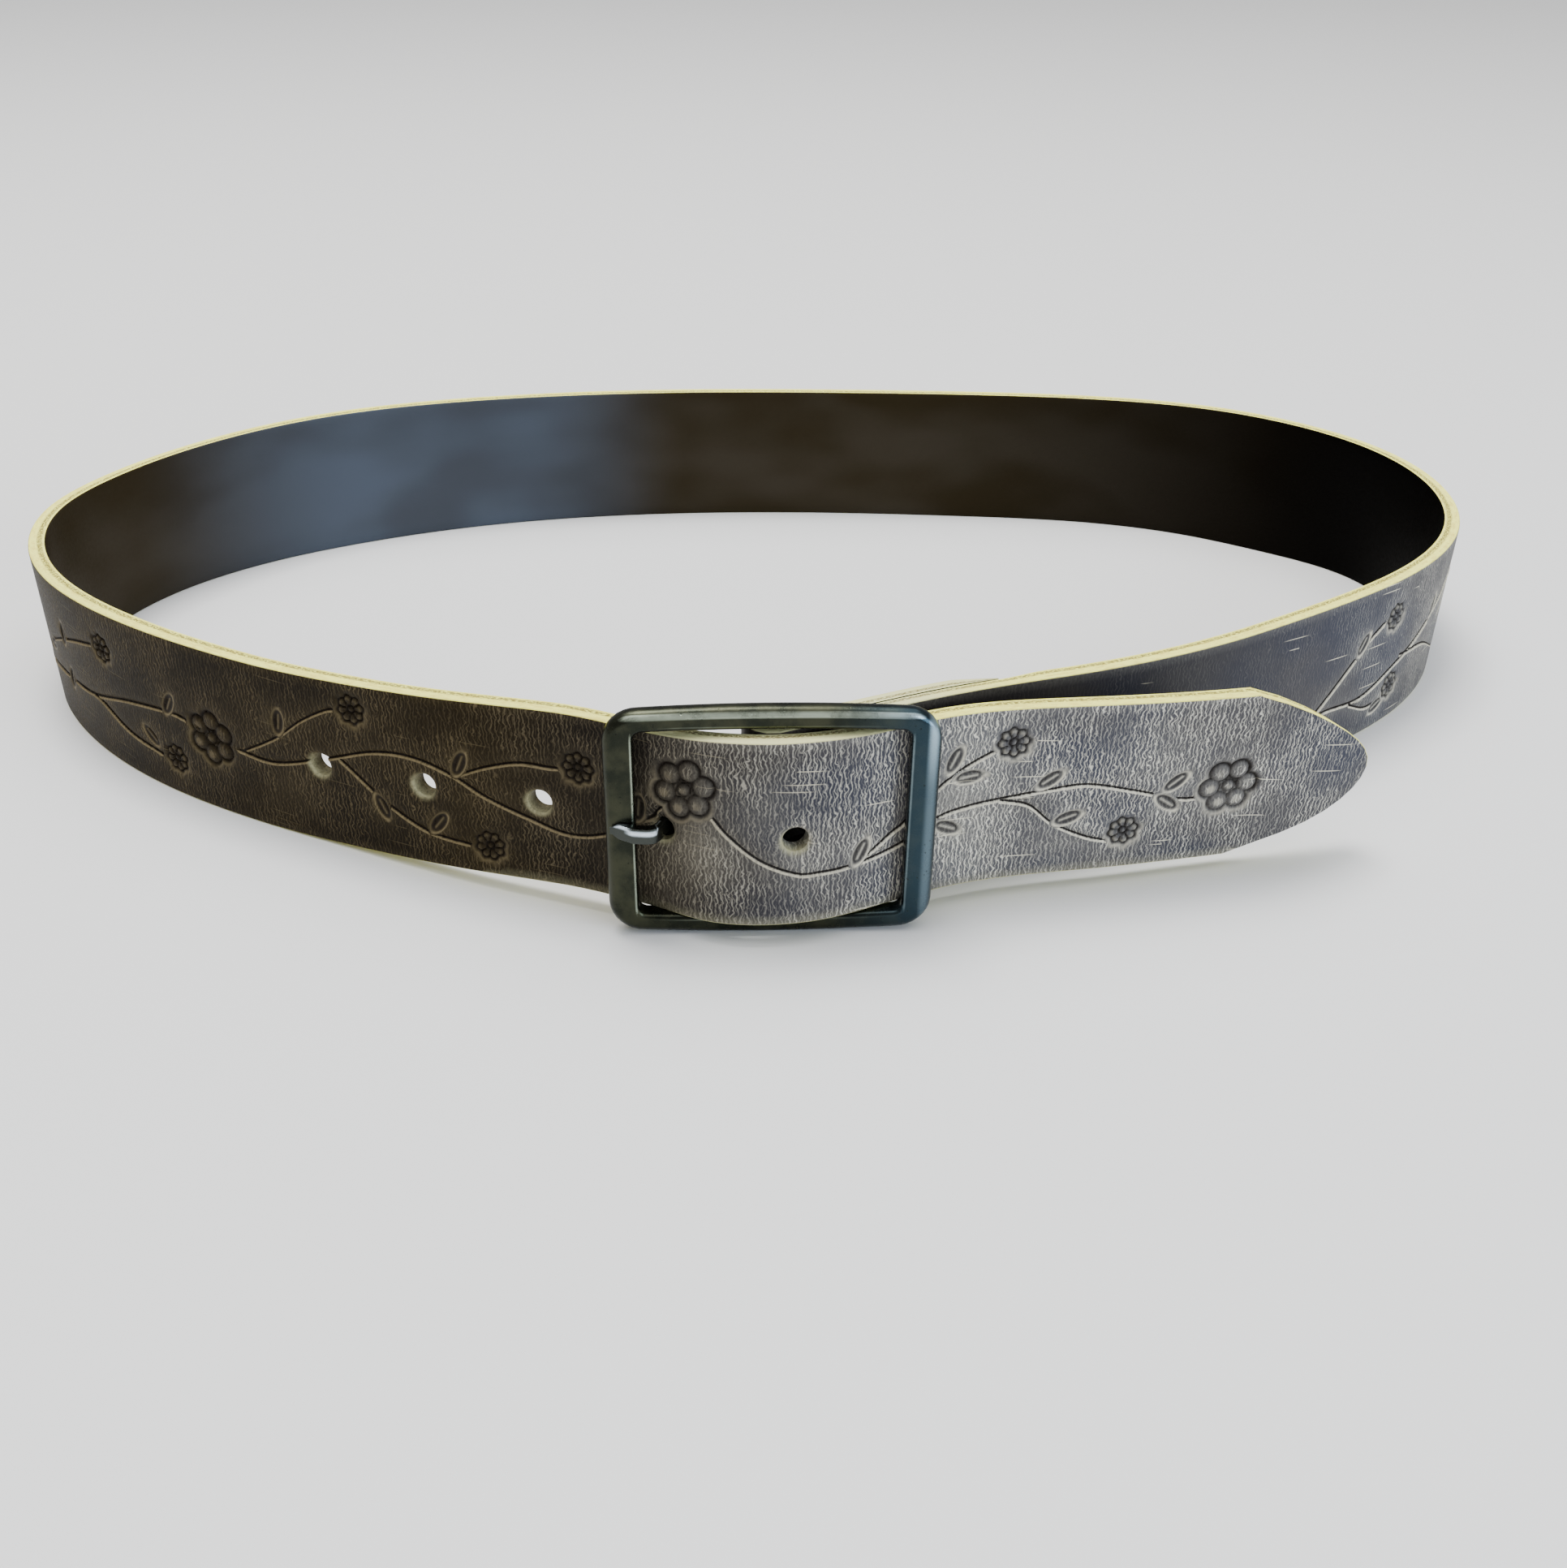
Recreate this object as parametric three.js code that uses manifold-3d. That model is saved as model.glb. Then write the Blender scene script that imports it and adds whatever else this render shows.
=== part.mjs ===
// A western leather belt, buckled and standing on its edge as a closed loop, in millimetres.
// +Z is up, the buckle faces -Y and lies along X, and the origin is on the ground under the middle.
import * as THREE from "three";
import { mergeVertices } from "three/addons/utils/BufferGeometryUtils.js";
import Module from "manifold-3d";

const wasm = await Module();
wasm.setup();

// Strap leather
const STRAP_WIDTH = 38;
const STRAP_THICKNESS = 3.8;
const EDGE_CHAMFER = 0.45;
const TIP_TAPER = 31.5; // length over which the tip comes to its rounded point

// The fold round the centre bar, where the leather is skived thinner
const FOLD_THICKNESS = 2.8;
const FOLD_LENGTH = 47;
const FOLD_END_BEVEL = 4;
const FOLD_END_THICKNESS = 0.8;
const SKIVE_RUN = 12; // length over which the strap grows back to its full thickness
const LEG_ANGLE = THREE.MathUtils.degToRad(23.7); // how far the folded leg turns back from the buckle
const LEG_STRAIGHT = 58;

// Waist loop, measured from the middle of the buckle to the outer face of the strap
const LOOP_LEFT = 172;
const LOOP_RIGHT = 180;
const LOOP_DEPTH = 225;
const TIP_REACH = 92.1; // how far the tip reaches past the end of the buckle
const TIP_LIFT = 3.5; // height of the lower edge where the tip's taper starts
const TIP_DROP = 3; // how much lower the point itself hangs
const LIFT_RUN = 90; // length over which the strap comes down to the ground beside the buckle
const LIFT_HOLD = 25;

// Punched holes
const HOLE_RADIUS = 2.5;
const HOLE_SPACING = 25.4;
const HOLE_COUNT = 5;
const HOLE_HEIGHT = 18; // from the strap's lower edge to the middle of the holes
const PRONG_HOLE = 1; // the hole that the prong goes through, counted from the tip
const HOLE_TO_END_BAR = 3.8; // from the middle of that hole to the near side of the buckle's end bar

// Buckle casting
const BUCKLE_LENGTH = 60.8;
const BUCKLE_DEPTH = 4.2;
const RAIL_HEIGHT = 4.2;
const RAIL_SAG = 0.45; // how much lower the rails are at their ends than in the middle
const END_BAR_WIDTH = 5.6;
const CORNER_RADIUS = 6.5;
const WINDOW_CORNER = 1.8;
const WINDOW_PLAY = 1.9; // height of the window over the strap's width
const CASTING_ROUND = 1.6;
const BAR_RADIUS = 2.4;
const BAR_SETBACK = 4.8; // the centre bar's axis behind the middle of the rails
const LUG_WIDTH = 6.6;
const LUG_WALL = 0.7;
const LUG_END_HEIGHT = 1.5;
const LUG_SKIN = 0.8; // how far the lugs stay inside the outer face of the rails

// Prong
const PRONG_WIDTH = 2.8;
const PRONG_THICKNESS = 1.8;
const PRONG_OVER_HOLE = 0.4; // how much higher than the middle of its hole the prong lies
const PRONG_SHIFT = 0.8; // how much nearer to the tip than the middle of its hole it goes through
const PRONG_RING_WALL = 1.8;
const PRONG_ROUND = 0.5;
const PRONG_NIB = 0.55; // share of its width that the prong keeps at its end
const SLOT_PLAY = 0.7;
const SLOT_LEG = 7; // how far the prong's slot runs on along each leg of the fold

// Fold rivets
const RIVET_CAP_RADIUS = 4;
const RIVET_CAP_HEIGHT = 1;
const RIVET_POST_RADIUS = 1.5;
const RIVETS = [
  { name: "fold_rivet_near", along: 0.4 },
  { name: "fold_rivet_far", along: 0.8 },
];

const GAP = 0.3; // clearance between two pieces that touch
const SAMPLE_STEP = 0.5;
const STATION_LENGTH = 12;
const STATION_TURN = THREE.MathUtils.degToRad(8);

// Sizes that follow from the ones above
const HOLE_FROM_BAR = BUCKLE_LENGTH / 2 - END_BAR_WIDTH - HOLE_TO_END_BAR;
const WINDOW_HEIGHT = STRAP_WIDTH + WINDOW_PLAY;
const BUCKLE_HEIGHT = WINDOW_HEIGHT + 2 * RAIL_HEIGHT;
const BUCKLE_HALF = BUCKLE_LENGTH / 2;
const LUG_INNER = RAIL_HEIGHT + RAIL_SAG;
const STRAP_LIFT = LUG_INNER + GAP;
const STRAP_MIDDLE = STRAP_LIFT + STRAP_WIDTH / 2;
const PRONG_LEVEL = STRAP_LIFT + HOLE_HEIGHT + PRONG_OVER_HOLE;
const BAR_AXIS = new THREE.Vector2(0, BAR_SETBACK);
const TURN_RADIUS = BAR_RADIUS + GAP + FOLD_THICKNESS;
const LEG_DIRECTION = new THREE.Vector2(Math.cos(LEG_ANGLE), Math.sin(LEG_ANGLE));
const LEG_NORMAL = new THREE.Vector2(-LEG_DIRECTION.y, LEG_DIRECTION.x);
const LEG_START = BAR_AXIS.clone().addScaledVector(LEG_NORMAL, -TURN_RADIUS);
const PASS_BACK = BUCKLE_DEPTH / 2 + GAP;
const PASS_FRONT = BAR_SETBACK - TURN_RADIUS - GAP - STRAP_THICKNESS;

// The upper grain edge of the strap seen from above, in the order in which the belt is wound.
// across: share of LOOP_RIGHT where positive, of LOOP_LEFT where negative. back: share of LOOP_DEPTH.
// lean: degrees by which the strap's top stands out over its foot.
const LOOP_ROWS = [
  { across: 0.522, back: 0.194, lean: 0 },
  { across: 0.699, back: 0.281, lean: 0 },
  { across: 0.861, back: 0.382, lean: 0 },
  { across: 0.95, back: 0.476, lean: 0 },
  { across: 0.998, back: 0.6, lean: -1 },
  { across: 0.971, back: 0.752, lean: -1 },
  { across: 0.886, back: 0.852, lean: 6 },
  { across: 0.777, back: 0.917, lean: 7 },
  { across: 0.594, back: 0.965, lean: 4 },
  { across: 0.386, back: 0.986, lean: 2.5 },
  { across: 0.114, back: 0.997, lean: 0.6 },
  { across: -0.166, back: 0.994, lean: 1 },
  { across: -0.443, back: 0.964, lean: 3.2 },
  { across: -0.699, back: 0.892, lean: 5 },
  { across: -0.849, back: 0.796, lean: 0 },
  { across: -0.959, back: 0.667, lean: -3 },
  { across: -0.997, back: 0.569, lean: -1 },
  { across: -0.98, back: 0.464, lean: 0 },
  { across: -0.921, back: 0.374, lean: 1 },
  { across: -0.797, back: 0.275, lean: 0 },
  { across: -0.654, back: 0.199, lean: -0.5 },
  { across: -0.495, back: 0.132, lean: 0 },
  { across: -0.349, back: 0.076, lean: 0 },
];

// Through the buckle. across: share of BUCKLE_HALF. forward: 0 just behind the rails, 1 over the centre bar.
const PASS_ROWS = [
  { across: -0.99, forward: -0.35, lean: 0 },
  { across: -0.674, forward: 0.28, lean: 0 },
  { across: -0.365, forward: 0.8, lean: -2.2 },
  { across: -0.03, forward: 1, lean: -2.3 },
  { across: 0.335, forward: 0.83, lean: -1.5 },
  { across: 0.64, forward: 0.45, lean: 0 },
  { across: 0.887, forward: -0.03, lean: 0 },
];

// The free end. past: distance beyond the buckle's end, back: behind the rails, both as shares of TIP_REACH.
const TIP_ROWS = [
  { past: 0.066, back: 0.039, lean: 0.5 },
  { past: 0.235, back: 0.07, lean: 2 },
  { past: 0.405, back: 0.092, lean: 3.2 },
  { past: 0.58, back: 0.118, lean: 4.5 },
  { past: 0.689, back: 0.136, lean: 5 },
  { past: 0.841, back: 0.173, lean: 5 },
  { past: 1, back: 0.232, lean: 5 },
];

// The prong's middle line from the front of its hole to the end bar: shares of the way along and forwards.
const PRONG_ROWS = [
  { along: 0.09, forward: 0.45 },
  { along: 0.3, forward: 0.9 },
  { along: 0.6, forward: 1 },
  { along: 1, forward: 1 },
];
const PRONG_END = 0.3; // how far the prong reaches past the end bar
const PRONG_EASE = 0.4; // extra room where the prong turns into its hole

// Cubic spline through rows of numbers, with its first derivative given at the start and free at the end.
function splineThrough(rows, startSlope) {
  const last = rows.length - 1;
  const knots = [0];
  for (let i = 1; i <= last; i++) {
    const chord = Math.hypot(rows[i][0] - rows[i - 1][0], rows[i][1] - rows[i - 1][1]);
    knots.push(knots[i - 1] + chord);
  }
  const span = (i) => knots[i + 1] - knots[i];
  const slope = (i, c) => (rows[i + 1][c] - rows[i][c]) / span(i);
  const bends = rows[0].map((_, c) => {
    const diagonal = [2 * span(0)];
    const right = [6 * (slope(0, c) - startSlope[c])];
    for (let i = 1; i < last; i++) {
      const ratio = span(i - 1) / diagonal[i - 1];
      diagonal.push(2 * (span(i - 1) + span(i)) - ratio * span(i - 1));
      right.push(6 * (slope(i, c) - slope(i - 1, c)) - ratio * right[i - 1]);
    }
    const bend = new Array(last + 1).fill(0);
    for (let i = last - 1; i >= 0; i--) bend[i] = (right[i] - span(i) * bend[i + 1]) / diagonal[i];
    return bend;
  });
  const steps = Math.round(knots[last] / SAMPLE_STEP);
  return Array.from({ length: steps + 1 }, (_, k) => {
    const t = (knots[last] * k) / steps;
    const i = Math.min(Math.max(knots.findIndex((knot) => knot > t) - 1, 0), last - 1);
    const piece = t >= knots[last] ? last - 1 : i;
    const u = t - knots[piece];
    const h = span(piece);
    return rows[0].map((_, c) => {
      const [m0, m1] = [bends[c][piece], bends[c][piece + 1]];
      const first = slope(piece, c) - (h * (2 * m0 + m1)) / 6;
      return rows[piece][c] + u * first + (u * u * m0) / 2 + (u ** 3 * (m1 - m0)) / (6 * h);
    });
  });
}

const smooth = (t) => THREE.MathUtils.smoothstep(t, 0, 1);
const onLeg = (along, inwards) =>
  LEG_START.clone().addScaledVector(LEG_DIRECTION, along).addScaledVector(LEG_NORMAL, inwards);

// The short inner leg of the fold, from its bevelled end to where it leaves the other leg.
function innerLeg() {
  const legJoin = 0.34 * FOLD_LENGTH;
  const points = [];
  for (let along = FOLD_LENGTH; along > legJoin; along -= SAMPLE_STEP) {
    const grown = Math.min((FOLD_LENGTH - along) / FOLD_END_BEVEL, 1);
    const thickness = THREE.MathUtils.lerp(FOLD_END_THICKNESS, FOLD_THICKNESS, grown);
    const place = onLeg(along, FOLD_THICKNESS + GAP + thickness);
    points.push({ x: place.x, y: place.y, lean: 0, thickness });
  }
  const from = onLeg(legJoin, 2 * FOLD_THICKNESS + GAP);
  const to = new THREE.Vector2(0, BAR_SETBACK + TURN_RADIUS);
  const pull = 0.4 * from.distanceTo(to);
  const curve = new THREE.CubicBezierCurve(
    from,
    from.clone().addScaledVector(LEG_DIRECTION, -pull),
    new THREE.Vector2(to.x + pull, to.y),
    to,
  );
  const steps = Math.round(curve.getLength() / SAMPLE_STEP);
  for (const p of curve.getSpacedPoints(steps))
    points.push({ x: p.x, y: p.y, lean: 0, thickness: FOLD_THICKNESS });
  return points;
}

// The turn round the centre bar.
function barTurn() {
  const from = Math.PI / 2;
  const to = 1.5 * Math.PI + LEG_ANGLE;
  const turn = new THREE.EllipseCurve(0, BAR_SETBACK, TURN_RADIUS, TURN_RADIUS, from, to);
  const points = turn.getSpacedPoints(Math.round(turn.getLength() / SAMPLE_STEP)).slice(1);
  return points.map((p) => ({ x: p.x, y: p.y, lean: 0, thickness: FOLD_THICKNESS }));
}

// The straight outer leg, which grows to the full thickness past the fold's end.
function outerLeg() {
  const steps = Math.round(LEG_STRAIGHT / SAMPLE_STEP);
  return Array.from({ length: steps }, (_, i) => {
    const along = ((i + 1) * LEG_STRAIGHT) / steps;
    const place = onLeg(along, 0);
    const grown = smooth((along - FOLD_LENGTH) / SKIVE_RUN);
    const thickness = THREE.MathUtils.lerp(FOLD_THICKNESS, STRAP_THICKNESS, grown);
    return { x: place.x, y: place.y, lean: 0, thickness };
  });
}

// The waist loop, the pass through the buckle and the free end.
function loopToTip() {
  const start = onLeg(LEG_STRAIGHT, 0);
  const rows = [[start.x, start.y, 0]];
  for (const { across, back, lean } of LOOP_ROWS)
    rows.push([across * (across > 0 ? LOOP_RIGHT : LOOP_LEFT), back * LOOP_DEPTH, lean]);
  for (const { across, forward, lean } of PASS_ROWS)
    rows.push([across * BUCKLE_HALF, THREE.MathUtils.lerp(PASS_BACK, PASS_FRONT, forward), lean]);
  for (const { past, back, lean } of TIP_ROWS)
    rows.push([BUCKLE_HALF + past * TIP_REACH, PASS_BACK + back * TIP_REACH, lean]);
  return splineThrough(rows, [LEG_DIRECTION.x, LEG_DIRECTION.y, 0])
    .slice(1)
    .map(([x, y, lean]) => ({ x, y, lean, thickness: STRAP_THICKNESS }));
}

// Joins the stretches into one route and gives each sample its distance, direction and height.
function strapRoute() {
  const fold = innerLeg();
  const turn = barTurn();
  const samples = [...fold, ...turn, ...outerLeg(), ...loopToTip()];
  let distance = 0;
  samples.forEach((sample, i) => {
    if (i > 0) distance += Math.hypot(sample.x - samples[i - 1].x, sample.y - samples[i - 1].y);
    sample.distance = distance;
  });
  const last = samples.length - 1;
  samples.forEach((sample, i) => {
    const before = samples[Math.max(i - 1, 0)];
    const after = samples[Math.min(i + 1, last)];
    const direction = new THREE.Vector2(after.x - before.x, after.y - before.y).normalize();
    sample.inwards = new THREE.Vector2(-direction.y, direction.x);
    sample.heading = direction.angle();
  });
  const legStart = samples[fold.length + turn.length - 1].distance;
  const inBuckle = (s) => s.distance > distance / 2 && s.y < PASS_BACK && Math.abs(s.x) < BUCKLE_HALF;
  const overBar = samples
    .filter(inBuckle)
    .reduce((best, s) => (Math.abs(s.x) < Math.abs(best.x) ? s : best)).distance;
  return { samples, length: distance, legStart, overBar };
}

const route = strapRoute();

// Height of the strap's lower edge: on the ground round the waist, raised where the buckle holds it.
function liftAt(distance) {
  const leaving = 1 - smooth((distance - route.legStart - LIFT_HOLD) / LIFT_RUN);
  const coming = smooth((distance - route.overBar + LIFT_HOLD + LIFT_RUN) / LIFT_RUN);
  const taperStart = route.length - TIP_TAPER;
  const settled = smooth((distance - route.overBar - BUCKLE_HALF) / (taperStart - route.overBar - BUCKLE_HALF));
  const dropped = smooth((distance - taperStart) / TIP_TAPER);
  return STRAP_LIFT * Math.max(leaving, coming) - (STRAP_LIFT - TIP_LIFT) * settled - TIP_DROP * dropped;
}

// Half of the strap's width: the tip is cut to a parabola.
function halfWidthAt(distance) {
  const left = (route.length - distance) / TIP_TAPER;
  return (STRAP_WIDTH / 2) * Math.sqrt(THREE.MathUtils.clamp(left, 0.001, 1));
}

// Sample of the route at a distance, between the stored ones.
function routeAt(distance) {
  const { samples } = route;
  let low = 0;
  let high = samples.length - 1;
  while (high - low > 1) {
    const middle = (low + high) >> 1;
    if (samples[middle].distance > distance) high = middle;
    else low = middle;
  }
  const [a, b] = [samples[low], samples[high]];
  const t = THREE.MathUtils.clamp((distance - a.distance) / (b.distance - a.distance), 0, 1);
  const mix = (key) => THREE.MathUtils.lerp(a[key], b[key], t);
  return {
    x: mix("x"),
    y: mix("y"),
    lean: mix("lean"),
    thickness: mix("thickness"),
    inwards: a.inwards.clone().lerp(b.inwards, t).normalize(),
  };
}

// A point of the strap: distance along it, height over its lower edge, depth from the grain face.
function strapPoint(distance, height, depth) {
  const at = routeAt(distance);
  const foot = (STRAP_WIDTH - height) * Math.tan(THREE.MathUtils.degToRad(at.lean));
  const place = new THREE.Vector2(at.x, at.y).addScaledVector(at.inwards, depth + foot);
  return new THREE.Vector3(place.x, place.y, liftAt(distance) + height);
}

// Distances at which the strap gets a section: closer together where it turns.
function strapStations() {
  const { samples, length } = route;
  const stations = [0];
  let spent = 0;
  for (let i = 1; i < samples.length; i++) {
    const turned = Math.abs(Math.sin(samples[i].heading - samples[i - 1].heading));
    const moved = samples[i].distance - samples[i - 1].distance;
    spent += moved / STATION_LENGTH + turned / STATION_TURN;
    if (spent < 1 || samples[i].distance > length - TIP_TAPER - STATION_LENGTH / 6) continue;
    stations.push(samples[i].distance);
    spent = 0;
  }
  stations.push(FOLD_END_BEVEL);
  const tipSteps = 12;
  for (let k = tipSteps; k >= 0; k--) stations.push(length - TIP_TAPER * (k / tipSteps) ** 2);
  return stations.sort((a, b) => a - b);
}

// Closed mesh through rings of points that all run the same way round.
function loft(rings) {
  const size = rings[0].length;
  const positions = rings.flat().flatMap((p) => [p.x, p.y, p.z]);
  const index = [];
  for (let r = 0; r + 1 < rings.length; r++) {
    for (let i = 0; i < size; i++) {
      const a = r * size + i;
      const b = r * size + ((i + 1) % size);
      index.push(a, a + size, b, b, a + size, b + size);
    }
  }
  const far = (rings.length - 1) * size;
  for (let i = 1; i + 1 < size; i++) {
    index.push(0, i, i + 1);
    index.push(far, far + i + 1, far + i);
  }
  return new THREE.BufferGeometry()
    .setAttribute("position", new THREE.Float32BufferAttribute(positions, 3))
    .setIndex(index);
}

// A chamfered rectangular section of the strap.
function strapSection(distance) {
  const { thickness } = routeAt(distance);
  const half = halfWidthAt(distance);
  const low = STRAP_WIDTH / 2 - half;
  const high = STRAP_WIDTH / 2 + half;
  const cut = Math.min(EDGE_CHAMFER, thickness / 4, half / 2);
  const corners = [
    [low, cut],
    [low + cut, 0],
    [high - cut, 0],
    [high, cut],
    [high, thickness - cut],
    [high - cut, thickness],
    [low + cut, thickness],
    [low, thickness - cut],
  ];
  return corners.map(([height, depth]) => strapPoint(distance, height, depth));
}

// A closed geometry as a solid that can be joined and cut, and back again.
function toSolid(geometry) {
  const bare = new THREE.BufferGeometry().setAttribute("position", geometry.getAttribute("position"));
  if (geometry.index) bare.setIndex(geometry.index);
  const merged = mergeVertices(bare, 1e-4);
  return new wasm.Manifold(
    new wasm.Mesh({
      numProp: 3,
      vertProperties: merged.getAttribute("position").array,
      triVerts: new Uint32Array(merged.index.array),
    }),
  );
}

function toGeometry(solid) {
  const { vertProperties, triVerts } = solid.getMesh();
  const geometry = new THREE.BufferGeometry()
    .setAttribute("position", new THREE.BufferAttribute(vertProperties, 3))
    .setIndex(new THREE.BufferAttribute(triVerts, 1));
  geometry.computeVertexNormals();
  return geometry;
}

// A cylinder between two points.
function rod(from, to, radius, sides = 24) {
  const axis = to.clone().sub(from);
  const geometry = new THREE.CylinderGeometry(radius, radius, axis.length(), sides);
  const up = new THREE.Vector3(0, 1, 0);
  geometry.applyQuaternion(new THREE.Quaternion().setFromUnitVectors(up, axis.normalize()));
  const middle = from.clone().add(to).multiplyScalar(0.5);
  return geometry.translate(middle.x, middle.y, middle.z);
}

// A straight cutter through the strap at a distance along it, square to its face.
function punch(distance, radius) {
  const front = strapPoint(distance, HOLE_HEIGHT, -3 * GAP);
  const back = strapPoint(distance, HOLE_HEIGHT, routeAt(distance).thickness + GAP);
  return toSolid(rod(front, back, radius));
}

// Room for the prong in the fold: round the bar and a little way along both legs.
function prongSlot() {
  const halfHeight = PRONG_WIDTH / 2 + SLOT_PLAY;
  const reach = TURN_RADIUS + GAP / 2;
  const low = new THREE.Vector3(0, BAR_SETBACK, PRONG_LEVEL - halfHeight);
  const high = new THREE.Vector3(0, BAR_SETBACK, PRONG_LEVEL + halfHeight);
  const round = toSolid(rod(low, high, reach, 48));
  const legs = new THREE.BoxGeometry(SLOT_LEG, 2 * reach, 2 * halfHeight);
  legs.translate(SLOT_LEG / 2, 0, 0);
  legs.rotateZ(LEG_ANGLE);
  legs.translate(0, BAR_SETBACK, PRONG_LEVEL);
  return round.add(toSolid(legs));
}

// A rivet's middle on the fold, and the direction from the outer leg to the inner one.
function rivetSeat(along) {
  const place = onLeg(along * FOLD_LENGTH, FOLD_THICKNESS + GAP / 2);
  return {
    middle: new THREE.Vector3(place.x, place.y, STRAP_MIDDLE),
    direction: new THREE.Vector3(LEG_NORMAL.x, LEG_NORMAL.y, 0),
  };
}

function makeStrap() {
  let solid = toSolid(loft(strapStations().map(strapSection)));
  for (let i = 0; i < HOLE_COUNT; i++) {
    const fromBar = (PRONG_HOLE - i) * HOLE_SPACING - HOLE_FROM_BAR;
    solid = solid.subtract(punch(route.overBar + fromBar, HOLE_RADIUS));
  }
  solid = solid.subtract(prongSlot());
  for (const { along } of RIVETS) {
    const { middle, direction } = rivetSeat(along);
    const reach = FOLD_THICKNESS + GAP;
    const from = middle.clone().addScaledVector(direction, -reach);
    const to = middle.clone().addScaledVector(direction, reach);
    solid = solid.subtract(toSolid(rod(from, to, RIVET_POST_RADIUS + GAP, 16)));
  }
  return toGeometry(solid);
}

// A rectangle with rounded corners whose long sides bow outwards by the rails' sag.
function barrelPath(path, halfLength, halfHeight, radius) {
  const corner = halfHeight - RAIL_SAG;
  const x = halfLength - radius;
  const z = corner - radius;
  path.moveTo(-x, -corner);
  path.quadraticCurveTo(0, -corner - 2 * RAIL_SAG, x, -corner);
  path.absarc(x, -z, radius, -Math.PI / 2, 0, false);
  path.absarc(x, z, radius, 0, Math.PI / 2, false);
  path.quadraticCurveTo(0, corner + 2 * RAIL_SAG, -x, corner);
  path.absarc(-x, z, radius, Math.PI / 2, Math.PI, false);
  path.absarc(-x, -z, radius, Math.PI, 1.5 * Math.PI, false);
  return path;
}

// The cast ring, standing on its lower rail.
function buckleRing() {
  const outline = barrelPath(new THREE.Shape(), BUCKLE_HALF, BUCKLE_HEIGHT / 2, CORNER_RADIUS);
  const windowHalf = BUCKLE_HALF - END_BAR_WIDTH;
  outline.holes.push(barrelPath(new THREE.Path(), windowHalf, WINDOW_HEIGHT / 2, WINDOW_CORNER));
  const flat = BUCKLE_DEPTH - 2 * CASTING_ROUND;
  const ring = new THREE.ExtrudeGeometry(outline, {
    depth: flat,
    curveSegments: 8,
    bevelThickness: CASTING_ROUND,
    bevelSize: CASTING_ROUND,
    bevelOffset: -CASTING_ROUND,
    bevelSegments: 4,
  });
  ring.rotateX(Math.PI / 2);
  return ring.translate(0, flat / 2, BUCKLE_HEIGHT / 2);
}

// A lug that carries one end of the centre bar behind its rail, seen from the side. It slopes down to
// the bar, so that the rail hides it.
function barLug(heightOf) {
  const front = -BUCKLE_DEPTH / 4;
  const back = BAR_SETBACK + BAR_RADIUS + LUG_WALL;
  const outline = new THREE.Shape(
    [
      [front, RAIL_HEIGHT],
      [front, LUG_SKIN],
      [back, LUG_INNER - LUG_END_HEIGHT],
      [back, LUG_INNER],
    ].map(([y, inwards]) => new THREE.Vector2(y, heightOf(inwards))),
  );
  const lug = new THREE.ExtrudeGeometry(outline, { depth: LUG_WIDTH, bevelEnabled: false });
  lug.translate(0, 0, -LUG_WIDTH / 2);
  const along = new THREE.Vector3(1, 0, 0);
  const across = new THREE.Vector3(0, 1, 0);
  const up = new THREE.Vector3(0, 0, 1);
  return lug.applyMatrix4(new THREE.Matrix4().makeBasis(across, up, along));
}

function makeBuckleFrame() {
  const end = LUG_INNER - LUG_END_HEIGHT / 2;
  const bar = rod(
    new THREE.Vector3(0, BAR_SETBACK, end),
    new THREE.Vector3(0, BAR_SETBACK, BUCKLE_HEIGHT - end),
    BAR_RADIUS,
  );
  const solid = toSolid(buckleRing())
    .add(toSolid(barLug((inwards) => inwards)))
    .add(toSolid(barLug((inwards) => BUCKLE_HEIGHT - inwards)))
    .add(toSolid(bar));
  return toGeometry(solid);
}

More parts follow.
